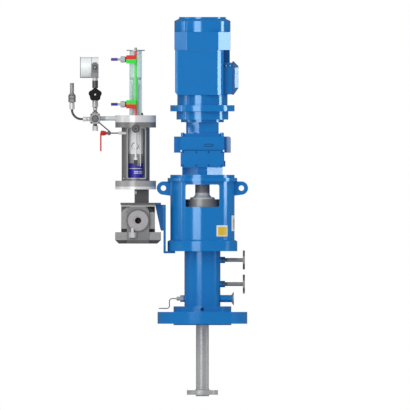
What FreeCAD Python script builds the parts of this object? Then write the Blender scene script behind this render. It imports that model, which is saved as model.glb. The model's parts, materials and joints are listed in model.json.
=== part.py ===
import math
import os
import re

import FreeCAD
import Part
import Sketcher
from FreeCAD import Rotation, Vector

# Magnetically coupled agitator: a gearmotor on a lantern turns an outer magnet rotor,
# which drives an inner rotor and the agitator shaft through a closed containment can.
# A pressure vessel with a level indicator hangs on a bracket at the left.
# The frame is in millimetres, +Z up, with the origin at the centre of the underside
# of the mounting flange. The viewer stands at -Y, and +X is to the right.

os.makedirs("parts", exist_ok=True)
doc = FreeCAD.newDocument("Agitator")
sheet = doc.addObject("Spreadsheet::Sheet", "Sizes")

# Mounting flange, bearing tube and cooling jacket
SIZES = dict(
    flange_radius=209.55,
    flange_thickness=55.6,
    face_radius=134.95,
    face_height=6.35,
    hub_radius=135.0,
    hub_height=26.1,
    bolt_edge=34.95,
    bolt_hole_radius=15.9,
    flange_hole_count=12,
    hub_port_radius=8.5,
    hub_port_depth=30.0,
    hub_port_rise=11.6,
    tube_radius=58.0,
    tube_wall=8.0,
    bush_radius=42.0,
    bush_length=54.0,
    jacket_radius=84.15,
    jacket_wall=7.1,
    jacket_length=257.3,
    running_fit=0.05,
    coolant_drop=41.0,
    coolant_spacing=112.6,
    coolant_socket_radius=15.0,
    coolant_socket_reach=21.85,
    coolant_pipe_radius=9.2,
    coolant_bore_radius=6.8,
    coolant_pipe_length=82.7,
    coolant_flange_radius=44.45,
    coolant_flange_thickness=9.8,
    coolant_bolt_edge=14.3,
    coolant_hole_radius=7.95,
    coolant_hole_count=4,
    flush_rise=36.0,
    flush_pipe_radius=16.85,
    flush_bore_radius=12.5,
    flush_pipe_reach=50.85,
    ferrule_radius=30.0,
    ferrule_thickness=12.4,
    ferrule_rim=3.4,
    probe_boss_reach=4.85,
    probe_boss_radius=16.0,
    probe_nut_length=14.7,
    probe_sleeve_length=17.3,
    probe_sleeve_radius=9.0,
    probe_well_radius=4.0,
    probe_well_gap=1.0,
    lead_radius=2.25,
    lead_bend=12.0,
    lead_run=33.0,
    lead_drop=45.8,
    lead_tail=49.6,
)
LEVELS = dict(
    flange_top="flange_thickness",
    flange_foot="-face_height",
    hub_top="flange_top+hub_height",
    bolt_circle="2*(flange_radius-bolt_edge)",
    jacket_top="hub_top+jacket_length",
    jacket_inside="jacket_radius-jacket_wall",
    tube_bore="tube_radius-tube_wall",
    hub_port_z="flange_top+hub_port_rise",
    shaft_fit="shaft_radius+running_fit",
    coolant_upper_z="jacket_top-coolant_drop",
    coolant_lower_z="coolant_upper_z-coolant_spacing",
    coolant_socket_end="jacket_radius+coolant_socket_reach",
    coolant_bolt_circle="2*(coolant_flange_radius-coolant_bolt_edge)",
    flush_z="hub_top+flush_rise",
    flush_pipe_end="jacket_radius+flush_pipe_reach",
    probe_boss_end="jacket_radius+probe_boss_reach",
    probe_nut_end="probe_boss_end+probe_nut_length",
    probe_sleeve_end="probe_nut_end+probe_sleeve_length",
    lead_down_x="probe_sleeve_end+lead_run",
    lead_low_z="flush_z-lead_drop",
    lead_end_x="lead_down_x+lead_tail",
)

# Agitator shaft and its flange
SIZES.update(
    shaft_radius=30.0,
    shaft_reach=309.6,
    shaft_collar_radius=34.5,
    shaft_collar_height=6.0,
    shaft_flange_radius=72.5,
    shaft_flange_thickness=22.0,
    shaft_bolt_edge=19.5,
    shaft_hole_radius=7.0,
    shaft_hole_count=6,
    spigot_radius=31.0,
    spigot_length=7.0,
)
LEVELS.update(
    shaft_flange_top="-shaft_reach",
    shaft_flange_foot="shaft_flange_top-shaft_flange_thickness",
    spigot_foot="shaft_flange_foot-spigot_length",
    shaft_bolt_circle="2*(shaft_flange_radius-shaft_bolt_edge)",
)

# Magnetic coupling, containment can and lantern
SIZES.update(
    lantern_radius=150.0,
    lantern_wall=8.0,
    lantern_flange_radius=163.0,
    lantern_foot=46.3,
    lantern_chamfer=7.4,
    lantern_drum=279.7,
    lantern_ring_radius=162.5,
    lantern_ring_thickness=16.4,
    lantern_top_bore=115.0,
    window_half_width=78.5,
    window_rise=160.7,
    window_height=104.0,
    window_corner=8.0,
    can_bore=90.0,
    can_wall=3.0,
    can_flange_radius=132.0,
    can_flange_thickness=14.0,
    can_height=142.0,
    can_dome=13.0,
    can_clearance=5.7,
    magnet_rise=22.7,
    magnet_length=92.0,
    magnet_thickness=9.0,
    magnet_count=16,
    magnet_gap_angle=4.0,
    inner_clearance=5.0,
    outer_clearance=4.0,
    inner_hub_radius=42.0,
    inner_rim=10.0,
    inner_web=22.0,
    rotor_overhang=6.0,
    outer_rotor_wall=12.0,
    rotor_roof=14.8,
    rotor_slope=7.8,
    disc_radius=80.0,
    disc_thickness=34.1,
    hub_step_radius=57.5,
    hub_step_height=8.0,
    hub_flare_radius=43.0,
    hub_flare_step=2.0,
    hub_flare_height=10.0,
    coupling_hub_radius=34.0,
    coupling_hub_length=96.1,
    lug_reach=32.0,
    lug_hole_radius=12.5,
    lug_radius=31.3,
    lug_thickness=20.0,
    lug_foot_drop=36.9,
)
LEVELS.update(
    lantern_flange_top="jacket_top+lantern_foot",
    lantern_ring_bottom="lantern_flange_top+lantern_drum",
    lantern_top="lantern_ring_bottom+lantern_ring_thickness",
    lantern_inside="lantern_radius-lantern_wall",
    window_bottom="lantern_flange_top+window_rise",
    window_top="window_bottom+window_height",
    can_outer="can_bore+can_wall",
    can_end="lantern_flange_top+can_height",
    can_shoulder="can_end-can_dome",
    magnet_bottom="lantern_flange_top+magnet_rise",
    magnet_top="magnet_bottom+magnet_length",
    inner_magnet_outer="can_bore-inner_clearance",
    inner_magnet_inner="inner_magnet_outer-magnet_thickness",
    inner_rim_bore="inner_magnet_inner-inner_rim",
    outer_magnet_inner="can_outer+outer_clearance",
    outer_magnet_outer="outer_magnet_inner+magnet_thickness",
    outer_rotor_radius="outer_magnet_outer+outer_rotor_wall",
    rotor_low="magnet_bottom-rotor_overhang/2",
    rotor_high="magnet_top+rotor_overhang/2",
    web_low="magnet_bottom+(magnet_length-inner_web)/2",
    web_high="web_low+inner_web",
    shaft_top="magnet_top+rotor_overhang",
    rotor_ceiling="can_end+can_clearance",
    disc_bottom="rotor_ceiling+rotor_roof",
    rotor_shoulder="disc_bottom-rotor_slope",
    disc_top="disc_bottom+disc_thickness",
    hub_step_top="disc_top+hub_step_height",
    hub_flare_top="hub_step_top+hub_flare_step+hub_flare_height",
    coupling_hub_top="disc_top+coupling_hub_length",
    lug_hole_x="lantern_radius+lug_reach",
    lug_hole_z="lantern_ring_bottom-lug_radius",
    lug_foot_z="lug_hole_z-lug_foot_drop",
)

# Gearbox: two stages of straight-cut gears between the motor shaft and the output shaft
SIZES.update(
    gear_module=2.0,
    pinion_teeth=17,
    wheel_teeth=45,
    second_pinion_teeth=19,
    output_teeth=43,
    tooth_addendum=0.9,
    tooth_dedendum=1.25,
    pressure_angle=20.0,
    gear_backlash=0.5,
    gear_side_clearance=7.2,
    gear_back_clearance=5.2,
    stage_gap=8.0,
    stage_spacing=26.0,
    first_stage_width=24.0,
    second_stage_width=34.0,
    output_shaft_radius=20.0,
    output_shaft_over=12.0,
    output_bore=40.0,
    lower_bearing_rise=18.6,
    upper_bearing_gap=4.0,
    bearing_width=18.0,
    countershaft_radius=12.0,
    countershaft_play=1.0,
    counter_bearing_radius=22.0,
    counter_bearing_width=14.0,
    gearbox_wall=10.0,
    cavity_floor=34.4,
    cavity_roof=8.7,
    gearbox_flange_radius=150.0,
    gearbox_flange_thickness=14.4,
    neck_height=37.8,
    neck_half_width=94.5,
    neck_flat_half=22.0,
    block_half_width=102.0,
    block_front=95.0,
    lower_block_height=70.4,
    waist_height=7.6,
    waist_inset=5.0,
    upper_block_height=63.1,
    ear_flange_half=84.0,
    ear_flange_height=14.2,
    ear_x=92.0,
    ear_y=72.0,
    ear_radius=8.5,
    ear_height=18.2,
    cover_thickness=8.0,
    cover_half_width=98.0,
    cover_drop=3.6,
    cover_height=78.0,
    cover_corner=10.0,
    cover_screw_near=29.0,
    cover_screw_far=90.0,
    cover_screw_low=10.0,
    cover_screw_high=6.0,
    screw_radius=5.0,
    screw_head=2.5,
    side_cover_reach=30.8,
    side_cover_drop=5.0,
    side_cover_half_depth=45.0,
    side_cover_corner=10.0,
    low_cover_reach=5.4,
    low_cover_height=38.4,
    plug_x=30.0,
    plug_rise=21.8,
    plug_half_length=22.0,
    plug_half_height=6.5,
    plug_thickness=2.0,
    flange_screw_inset=18.0,
    flange_screw_radius=9.0,
    flange_screw_head=10.0,
    flange_screw_socket=5.0,
    flange_screw_count=4,
)
LEVELS.update(
    gear_distance="gear_module*(pinion_teeth+wheel_teeth)/2",
    wheel_reach="gear_module*(wheel_teeth/2+tooth_addendum)",
    output_reach="gear_module*(output_teeth/2+tooth_addendum)",
    gearbox_neck_bottom="lantern_top+gearbox_flange_thickness",
    block_bottom="gearbox_neck_bottom+neck_height",
    waist_bottom="block_bottom+lower_block_height",
    waist_top="waist_bottom+waist_height",
    ear_flange_bottom="waist_top+upper_block_height",
    ear_flange_top="ear_flange_bottom+ear_flange_height",
    cavity_bottom="block_bottom+cavity_floor",
    cavity_top="ear_flange_bottom-cavity_roof",
    cavity_half_width="wheel_reach+gear_side_clearance",
    cavity_front="output_reach+gear_side_clearance",
    cavity_back="gear_distance+wheel_reach+gear_back_clearance",
    block_back="cavity_back+gearbox_wall",
    lower_bearing_z="lantern_top+lower_bearing_rise",
    upper_bearing_z="cavity_bottom-upper_bearing_gap-bearing_width",
    second_stage_z="cavity_bottom+stage_gap",
    first_stage_z="second_stage_z+second_stage_width+stage_spacing",
    output_shaft_top="second_stage_z+second_stage_width+output_shaft_over",
    output_fit="output_shaft_radius+running_fit",
    counter_fit="countershaft_radius+running_fit",
    counter_foot="cavity_bottom-counter_bearing_width+countershaft_play",
    counter_head="cavity_top+counter_bearing_width-countershaft_play",
    cover_bottom="block_bottom-cover_drop",
    cover_top="cover_bottom+cover_height",
    cover_face="block_front+cover_thickness",
    side_cover_bottom="waist_bottom-side_cover_drop",
    side_cover_end="block_half_width+side_cover_reach",
    side_cover_shoulder="ear_flange_bottom-side_cover_corner",
    low_cover_top="block_bottom+low_cover_height",
    plug_z="waist_top+plug_rise",
)

# Motor and its adapter
SIZES.update(
    adapter_neck_half=76.0,
    adapter_neck_height=52.1,
    adapter_left_flat=20.0,
    adapter_left_slope=8.0,
    adapter_left_rise=12.0,
    adapter_front_left=16.0,
    adapter_right_slope=10.0,
    adapter_right_rise=14.0,
    adapter_step_radius=100.0,
    adapter_step_height=12.6,
    adapter_ring_radius=121.0,
    adapter_ring_height=38.3,
    adapter_bore=32.0,
    motor_flange_radius=150.0,
    motor_flange_thickness=29.0,
    shield_radius=117.3,
    shield_height=47.6,
    shield_clearance=3.0,
    shield_wall=11.0,
    frame_height=209.5,
    octagon_height=85.6,
    frame_half_width=131.0,
    octagon_flat_half=74.0,
    frame_left=128.0,
    frame_front=128.0,
    frame_chamfer_start=70.5,
    frame_chamfer_end=87.0,
    frame_recess=98.0,
    frame_back_step=92.0,
    frame_foot_inset=10.0,
    frame_foot_rise=13.0,
    frame_bore=92.0,
    frame_corner=9.0,
    stator_rise=61.5,
    stator_length=160.0,
    stator_bore=62.0,
    air_gap=0.8,
    winding_outer=86.0,
    winding_inner=66.0,
    winding_height=28.0,
    motor_shaft_radius=19.0,
    motor_shaft_neck=12.0,
    motor_shaft_step=16.1,
    fan_seat_radius=17.5,
    motor_bearing_radius=40.0,
    rear_bearing_radius=36.0,
    drive_bearing_rise=9.1,
    rear_bearing_drop=27.6,
    motor_bearing_width=21.0,
    fan_gap=8.4,
    fan_height=30.0,
    fan_radius=96.0,
    fan_hub_radius=28.0,
    fan_plate=4.0,
    fan_blade=4.0,
    fan_blade_grip=1.0,
    fan_blade_count=9,
    cowl_height=50.4,
    cowl_cone_height=10.8,
    cowl_cap_height=8.0,
    cowl_cap_radius=109.0,
    cowl_wall=2.5,
    grille_slot=8.0,
    grille_pitch=16.0,
    grille_rows=5,
    grille_radius=92.0,
    box_rise=2.5,
    box_height=149.0,
    box_depth=41.6,
    box_half_width=62.0,
    box_wall=6.0,
    lid_depth=28.4,
    lid_drop=2.0,
    lid_over=6.0,
    lid_half_width=66.0,
    lid_slope=22.0,
    lid_low_slope=31.0,
    lid_side_slope=24.0,
    gland_radius=14.0,
    gland_length=24.0,
    gland_spacing=44.0,
)
LEVELS.update(
    adapter_neck_top="ear_flange_top+adapter_neck_height",
    adapter_step_top="adapter_neck_top+adapter_step_height",
    motor_flange_bottom="adapter_step_top+adapter_ring_height",
    motor_flange_top="motor_flange_bottom+motor_flange_thickness",
    motor_screw_circle="motor_flange_radius-flange_screw_inset",
    gearbox_screw_circle="gearbox_flange_radius-flange_screw_inset",
    frame_bottom="motor_flange_top+shield_height",
    octagon_bottom="frame_bottom+frame_height",
    frame_top="octagon_bottom+octagon_height",
    frame_chamfer="frame_chamfer_end-frame_chamfer_start",
    shield_bore="motor_shaft_radius+shield_clearance",
    rear_bore="fan_seat_radius+shield_clearance",
    stator_bottom="frame_bottom+stator_rise",
    stator_top="stator_bottom+stator_length",
    winding_top="stator_top+winding_height",
    motor_shaft_step_z="ear_flange_top+motor_shaft_step",
    drive_bearing_z="motor_flange_top+drive_bearing_rise",
    drive_bearing_top="drive_bearing_z+motor_bearing_width",
    rear_bearing_z="frame_top-rear_bearing_drop",
    rear_bearing_top="rear_bearing_z+motor_bearing_width",
    fan_bottom="frame_top+fan_gap",
    fan_top="fan_bottom+fan_height",
    fan_blade_root="fan_hub_radius-fan_blade_grip",
    cowl_straight_top="frame_top+cowl_height",
    cowl_cone_top="cowl_straight_top+cowl_cone_height",
    cowl_top="cowl_cone_top+cowl_cap_height",
    box_bottom="frame_bottom+box_rise",
    box_top="box_bottom+box_height",
    lid_start="frame_recess+box_depth",
    lid_end="lid_start+lid_depth",
    lid_bottom="box_bottom-lid_drop",
    lid_top="box_top+lid_over",
)

# Bracket at the lantern's foot, with the plate that the vessel stands on
SIZES.update(
    bracket_reach=19.0,
    bracket_plate=11.0,
    bracket_half_depth=55.0,
    bracket_foot=9.8,
    bracket_foot_half=42.0,
    bracket_foot_grip=36.0,
    bracket_height=226.8,
    gusset_thickness=10.0,
    gusset_reach=39.0,
    gusset_low_reach=14.0,
    gusset_tip_reach=10.0,
    gusset_tip_rise=6.0,
    gusset_height=121.0,
    tongue_gap=11.3,
    tongue_length=106.7,
    tongue_half_depth=26.0,
    plate_thickness=9.5,
    plate_left_over=82.5,
    plate_right_over=78.5,
    plate_half_depth=60.0,
    tongue_slot_gap=0.4,
)
LEVELS.update(
    bracket_outer="lantern_flange_radius+bracket_reach",
    bracket_inner="bracket_outer-bracket_plate",
    bracket_foot_end="lantern_flange_radius-bracket_foot_grip",
    bracket_bottom="jacket_top-bracket_foot",
    plate_bottom="bracket_bottom+bracket_height",
    plate_top="plate_bottom+plate_thickness",
    gusset_low="plate_bottom-gusset_height",
    tongue_start="bracket_outer+tongue_gap",
    tongue_end="tongue_start+tongue_length",
)

# Connection block with its port, foot plate and post
SIZES.update(
    block_offset=118.5,
    block_height=128.0,
    core_half_width=79.0,
    core_front=20.0,
    core_back=58.0,
    ledge_height=9.0,
    ledge_front=55.0,
    foot_gap=15.0,
    wing_front=42.0,
    wing_height=78.0,
    wing_shoulder=26.0,
    wing_top_half=52.0,
    column_front=58.0,
    column_half=52.0,
    column_neck_half=34.0,
    column_neck_drop=5.0,
    column_shoulder_drop=28.0,
    column_foot_slope=8.0,
    port_drop=74.1,
    port_flange_radius=54.6,
    port_flange_thickness=4.0,
    port_disc_radius=47.4,
    port_disc_thickness=4.0,
    port_recess_radius=21.0,
    port_recess_depth=2.0,
    port_bore=14.7,
    port_depth=90.0,
    foot_plate_half=107.2,
    foot_plate_depth=54.0,
    foot_plate_height=37.0,
    foot_bevel=17.0,
    foot_bevel_height=16.6,
    bleed_offset=25.5,
    bleed_radius=17.8,
    bleed_rise=27.6,
    bleed_height=25.0,
    bleed_cap_radius=7.0,
    bleed_cap_height=20.0,
    post_offset=17.0,
    post_half_width=33.5,
    post_half_depth=34.0,
    post_height=62.1,
)
LEVELS.update(
    block_x="bracket_outer+block_offset",
    plate_left="block_x+plate_left_over",
    plate_right="block_x-plate_right_over",
    ledge_bottom="plate_bottom-ledge_height",
    port_z="plate_bottom-port_drop",
    foot_plate_top="plate_bottom-block_height",
    foot_plate_low="foot_plate_top-foot_plate_height",
    foot_plate_bottom="foot_plate_low-foot_bevel_height",
    column_neck_z="plate_bottom-column_neck_drop",
    column_shoulder_z="plate_bottom-column_shoulder_drop",
    wing_bottom="foot_plate_top+foot_gap",
    wing_shoulder_z="wing_bottom+wing_height",
    wing_top="wing_shoulder_z+wing_shoulder",
    port_flange_y="column_front+port_flange_thickness",
    port_face_y="port_flange_y+port_disc_thickness",
    bleed_x="block_x+bleed_offset",
    bleed_y="column_front+bleed_radius*sqrt(3)/2",
    bleed_bottom="foot_plate_bottom+bleed_rise",
    bleed_shoulder="bleed_bottom+bleed_height",
    low_flange_bottom="plate_top+post_height",
)

# Pressure vessel with its indicator rod and sight tube
SIZES.update(
    vessel_offset=11.2,
    vessel_flange_radius=95.0,
    low_disc_height=13.1,
    low_cover_height=27.6,
    casing_length=248.0,
    high_disc_height=25.2,
    high_cover_height=32.2,
    casing_radius=65.5,
    casing_wall=5.0,
    window_shift=3.7,
    casing_window_half=40.0,
    casing_window_corner=7.0,
    casing_window_rise=12.7,
    casing_window_top_gap=4.3,
    window_frame_width=5.5,
    window_frame_proud=2.0,
    sleeve_radius=35.5,
    sleeve_split=124.7,
    low_sleeve_radius=35.0,
    rod_radius=18.0,
    rod_rise=216.7,
    rod_length=235.0,
    rod_neck_radius=12.0,
    rod_neck_length=20.0,
    indicator_radius=25.0,
    indicator_thickness=11.0,
    guide_radius=5.0,
    guide_clearance=1.0,
    guide_length=211.7,
    guide_bore_depth=112.0,
    front_rod_radius=4.5,
    front_rod_gap=4.0,
    front_rod_length=139.3,
    front_nut_radius=9.0,
    front_nut_height=12.0,
    front_block_height=28.0,
    front_block_left=8.3,
    front_block_right=12.2,
    slim_rod_radius=2.5,
    slim_rod_shift=21.7,
    slim_rod_reach=38.0,
    slim_rod_length=180.0,
    sleeve_ring_radius=16.8,
    sleeve_ring_width=2.5,
    sleeve_ring_drop=88.3,
    sleeve_ring_proud=1.5,
    knob_radius=18.6,
    knob_drop=5.3,
    knob_proud=9.0,
    knob_depth=18.0,
    knob_socket=7.0,
    sight_radius=30.0,
    sight_wall=3.0,
    sight_length=300.6,
    sight_cap_radius=42.5,
    sight_cap_height=5.1,
    sight_nipple_radius=6.0,
    sight_nipple_height=10.6,
    strip_left_over=6.8,
    strip_width=12.5,
    strip_thickness=2.0,
    clamp_left_over=44.3,
    clamp_right_over=2.7,
    clamp_front=48.0,
    clamp_back=10.0,
    clamp_gap=1.0,
    clamp_height=38.8,
    clamp_rise=51.4,
    clamp_spacing=209.6,
    sensor_reach=30.0,
    sensor_collar_radius=13.0,
    sensor_collar_length=5.0,
    sensor_radius=15.0,
    sensor_length=22.0,
    sensor_bevel=3.0,
    sensor_neck_radius=5.5,
    sensor_neck_length=13.5,
    sensor_plug_radius=6.8,
    sensor_plug_length=30.5,
)
LEVELS.update(
    vessel_x="block_x+vessel_offset",
    low_flange_middle="low_flange_bottom+low_disc_height",
    low_flange_top="low_flange_middle+low_cover_height",
    high_flange_bottom="low_flange_top+casing_length",
    high_flange_middle="high_flange_bottom+high_disc_height",
    high_flange_top="high_flange_middle+high_cover_height",
    casing_window_x="window_shift-vessel_x",
    casing_window_bottom="low_flange_top+casing_window_rise",
    casing_window_top="high_flange_bottom-casing_window_top_gap",
    window_frame_radius="casing_radius+window_frame_proud",
    sleeve_bottom="low_flange_top+sleeve_split",
    rod_fit="rod_radius+2*running_fit",
    rod_bottom="low_flange_top+rod_rise",
    rod_top="rod_bottom+rod_length",
    indicator_bottom="rod_top+rod_neck_length",
    indicator_top="indicator_bottom+indicator_thickness",
    guide_fit="guide_radius+guide_clearance",
    guide_bore_top="rod_bottom+guide_bore_depth",
    front_rod_y="sleeve_radius+front_rod_gap+front_rod_radius",
    front_rod_bottom="high_flange_bottom-front_rod_length",
    front_nut_bottom="front_rod_bottom-front_nut_height",
    front_block_bottom="front_nut_bottom-front_block_height",
    slim_rod_x="slim_rod_shift-vessel_x",
    slim_rod_bottom="high_flange_bottom-slim_rod_length",
    sleeve_ring_z="high_flange_bottom-sleeve_ring_drop",
    knob_z="high_flange_bottom-knob_drop",
    sight_top="high_flange_top+sight_length",
    sight_cap_top="sight_top+sight_cap_height",
    sight_nipple_top="sight_cap_top+sight_nipple_height",
    strip_left="vessel_x+strip_left_over",
    strip_right="strip_left-strip_width",
    strip_front="sight_radius+strip_thickness",
    clamp_left="vessel_x+clamp_left_over",
    clamp_right="vessel_x-clamp_right_over",
    lower_sensor_z="high_flange_top+clamp_rise",
    upper_sensor_z="lower_sensor_z+clamp_spacing",
    sensor_body_end="sensor_collar_length+sensor_length",
    sensor_neck_end="sensor_body_end+sensor_neck_length",
    sensor_plug_end="clamp_left+sensor_neck_end+sensor_plug_length",
)

# Manifold, pipes and valves
SIZES.update(
    manifold_offset=189.1,
    manifold_half=23.5,
    manifold_drop=40.1,
    manifold_height=49.0,
    manifold_chamfer=3.5,
    front_plug_radius=14.3,
    front_plug_length=4.0,
    front_ring_radius=16.5,
    front_ring_length=1.5,
    bottom_neck_radius=9.5,
    bottom_neck_length=9.9,
    bottom_nut_radius=13.0,
    bottom_nut_length=22.4,
    header_pipe_radius=10.5,
    header_pipe_rise=25.4,
    outlet_rise=22.4,
    outlet_core_radius=8.0,
    outlet_ring_radius=10.5,
    outlet_ring_gap=0.7,
    outlet_ring_length=13.0,
    outlet_nut_radius=11.0,
    outlet_nut_gap=2.0,
    outlet_nut_length=18.0,
    bent_tube_radius=5.2,
    bent_tube_bend=44.0,
    bent_tube_offset=108.2,
    check_nut_rise=46.0,
    check_nut_radius=12.0,
    check_nut_height=31.0,
    check_groove=2.0,
    check_groove_radius=9.3,
    check_core_radius=14.0,
    check_hex_radius=17.5,
    check_hex_height=32.0,
    check_hex_line=1.0,
    check_cone_radius=16.5,
    check_cone_height=10.0,
    check_pipe_radius=9.3,
    check_pipe_length=48.0,
    valve_collar_height=7.4,
    valve_ball_rise=21.0,
    valve_ball_radius=10.5,
    valve_ball_half=8.4,
    valve_ball_flat=3.2,
    valve_neck_radius=8.0,
    valve_body_radius=13.5,
    valve_body_height=36.0,
    valve_block_height=45.0,
    valve_block_half=14.0,
    valve_neck_height=7.7,
    gauge_adapter_radius=13.6,
    gauge_adapter_height=35.0,
    gauge_stem_radius=12.5,
    gauge_stem_height=13.2,
    handwheel_rise=22.4,
    handwheel_radius=31.6,
    handwheel_core=20.0,
    handwheel_lobe=14.0,
    handwheel_lobes=5,
    handwheel_reach=40.0,
    handwheel_thickness=16.0,
    handwheel_stem_radius=5.0,
    handwheel_stem_gap=2.0,
    handwheel_hub_radius=9.0,
    handwheel_hub_gap=2.0,
    bypass_y=42.0,
    bypass_drop=43.1,
    bypass_tube_radius=3.0,
    bypass_fitting_radius=7.0,
    bypass_fitting_reach=13.8,
    ball_valve_offset=65.1,
    ball_valve_radius=10.0,
    ball_stem_radius=6.0,
    ball_stem_length=10.3,
    slant_inset=5.0,
    slant_rise=6.0,
    slant_end=3.0,
    slant_end_rise=7.0,
    lever_gap=1.0,
    lever_hub_start_radius=7.0,
    lever_hub_radius=11.7,
    lever_hub_taper=13.0,
    lever_hub_length=26.0,
    lever_hub_round=3.0,
    lever_hub_face=7.0,
    lever_spindle_radius=3.0,
    lever_spindle_length=9.0,
    lever_drop=84.9,
    lever_width=14.0,
    lever_thickness=7.0,
    lever_shift=5.0,
)
LEVELS.update(
    manifold_x="vessel_x+manifold_offset",
    manifold_left="manifold_x+manifold_half",
    manifold_right="manifold_x-manifold_half",
    manifold_bottom="high_flange_top-manifold_drop",
    manifold_top="manifold_bottom+manifold_height",
    manifold_z="manifold_bottom+manifold_height/2",
    bottom_neck_z="manifold_bottom-bottom_neck_length",
    bottom_nut_z="bottom_neck_z-bottom_nut_length",
    header_pipe_z="manifold_bottom+header_pipe_rise",
    header_pipe_end="vessel_x+vessel_flange_radius",
    outlet_z="manifold_bottom+outlet_rise",
    outlet_ring_start="manifold_left+outlet_ring_gap",
    outlet_ring_end="outlet_ring_start+outlet_ring_length",
    outlet_nut_start="outlet_ring_end+outlet_nut_gap",
    outlet_end="outlet_nut_start+outlet_nut_length",
    bent_tube_x="manifold_x+bent_tube_offset",
    bend_centre_x="bent_tube_x-bent_tube_bend",
    bend_centre_z="outlet_z+bent_tube_bend",
    check_nut_bottom="outlet_z+check_nut_rise",
    check_nut_top="check_nut_bottom+check_nut_height",
    check_hex_bottom="check_nut_top+check_groove",
    check_hex_top="check_hex_bottom+check_hex_height",
    check_cone_top="check_hex_top+check_cone_height",
    check_pipe_top="check_cone_top+check_pipe_length",
    valve_collar_top="manifold_top+valve_collar_height",
    valve_ball_z="manifold_top+valve_ball_rise",
    valve_body_bottom="valve_ball_z+valve_ball_half",
    valve_block_bottom="valve_body_bottom+valve_body_height",
    valve_block_top="valve_block_bottom+valve_block_height",
    gauge_adapter_bottom="valve_block_top+valve_neck_height",
    gauge_adapter_top="gauge_adapter_bottom+gauge_adapter_height",
    gauge_foot="gauge_adapter_top+gauge_stem_height",
    handwheel_z="valve_block_bottom+handwheel_rise",
    handwheel_front="handwheel_reach+handwheel_thickness",
    handwheel_ring="handwheel_radius-handwheel_lobe",
    bypass_z="manifold_bottom-bypass_drop",
    bypass_fitting_end="casing_radius+bypass_fitting_reach+vessel_x",
    ball_valve_x="manifold_x-ball_valve_offset",
    ball_valve_left="ball_valve_x-ball_valve_radius",
    ball_stem_end="ball_valve_x+ball_stem_length",
    lever_start="ball_stem_end+lever_gap",
    lever_arm_left="lever_start+lever_hub_length+lever_shift",
    lever_arm_right="lever_arm_left-lever_thickness",
    lever_bottom="bypass_z-lever_drop",
)

# Contact pressure gauge
SIZES.update(
    gauge_radius=49.0,
    gauge_stem_grip=1.0,
    gauge_wall=3.5,
    gauge_left_reach=70.8,
    gauge_right_reach=16.1,
    gauge_seam_reach=17.2,
    gauge_seam_width=1.5,
    gauge_bezel_depth=2.0,
    gauge_glass_thickness=3.0,
    gauge_dial_inset=15.6,
    gauge_dial_thickness=2.0,
    pointer_gap=3.0,
    pointer_thickness=1.2,
    pointer_length=34.0,
    pointer_tail=12.0,
    pointer_root_half=2.2,
    pointer_tail_half=1.2,
    pointer_tip_half=0.3,
    pointer_hub_radius=4.0,
    pointer_hub_height=2.2,
    pointer_pin_radius=1.5,
    pointer_pin_length=20.0,
    dial_hole_radius=5.0,
    gauge_box_left=16.2,
    gauge_box_right=13.8,
    gauge_box_drop=20.9,
    gauge_box_height=45.0,
    gauge_box_front=64.0,
    gauge_box_chamfer=8.0,
    gauge_box_back=10.0,
    box_socket_height=24.0,
    box_socket_front=58.0,
    gauge_gland_rise=1.1,
    gauge_gland_radius=10.0,
    gauge_gland_length=8.0,
    gauge_plug_radius=4.5,
    gauge_plug_length=12.0,
)
LEVELS.update(
    gauge_z="gauge_foot+gauge_radius-gauge_stem_grip",
    gauge_left="manifold_x+gauge_left_reach",
    gauge_right="manifold_x-gauge_right_reach",
    gauge_length="gauge_left_reach+gauge_right_reach",
    gauge_seam="gauge_right_reach+gauge_seam_reach",
    gauge_dial_x="gauge_left-gauge_dial_inset",
    dial_place="gauge_length-gauge_dial_inset",
    gauge_inside="gauge_radius-gauge_wall",
    pointer_back="gauge_dial_x+gauge_dial_thickness+pointer_gap",
    pointer_front="pointer_back+pointer_thickness",
    gauge_box_bottom="gauge_z-gauge_box_drop",
    gauge_box_top="gauge_box_bottom+gauge_box_height",
    box_socket_bottom="gauge_box_bottom-box_socket_height",
    gauge_gland_x="manifold_x+(gauge_box_left-gauge_box_right)/2",
    gauge_gland_z="gauge_z+gauge_gland_rise",
)

for row, (alias, number) in enumerate(SIZES.items(), 1):
    sheet.set(f"A{row}", alias)
    sheet.set(f"B{row}", str(number))
    sheet.setAlias(f"B{row}", alias)
for row, (alias, formula) in enumerate(LEVELS.items(), len(SIZES) + 1):
    sheet.set(f"A{row}", alias)
    sheet.set(f"B{row}", "=" + formula)
    sheet.setAlias(f"B{row}", alias)
doc.recompute()

NODES = []
NAMES = {*SIZES, *LEVELS}
AXES = {
    "Z": Rotation(),
    "X": Rotation(Vector(0, 1, 0), 90),
    "-X": Rotation(Vector(0, 1, 0), -90),
    "Y": Rotation(Vector(1, 0, 0), -90),
    "-Y": Rotation(Vector(1, 0, 0), 90),
}


def size(alias):
    """The number that the sheet holds under this name."""
    return float(sheet.get(alias))


def bound(text):
    """An expression in which every size's name points to the sheet."""
    return re.sub(r"[A-Za-z_]\w*", lambda word: "Sizes." + word[0] if word[0] in NAMES else word[0],
                  str(text))


def bind(item, prop, text):
    item.setExpression(prop, bound(text))


def place(item, at=("0", "0", "0"), axis="Z"):
    """Turn a piece's own Z to the axis and bind its place to the sheet."""
    turn = AXES[axis] if isinstance(axis, str) else axis
    item.Placement = FreeCAD.Placement(Vector(0, 0, 0), turn)
    for letter, text in zip("xyz", at):
        if str(text) != "0":
            bind(item, f".Placement.Base.{letter}", text)
    return item


def solid(kind, at, axis, **texts):
    item = doc.addObject(kind, kind.split("::")[1])
    for prop, text in texts.items():
        bind(item, prop, text)
    return place(item, at, axis)


def cylinder(radius, height, at=("0", "0", "0"), axis="Z"):
    return solid("Part::Cylinder", at, axis, Radius=radius, Height=height)


def hexagon(radius, height, at, axis="Z"):
    item = solid("Part::Prism", at, axis, Circumradius=radius, Height=height)
    item.Polygon = 6
    return item


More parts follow.
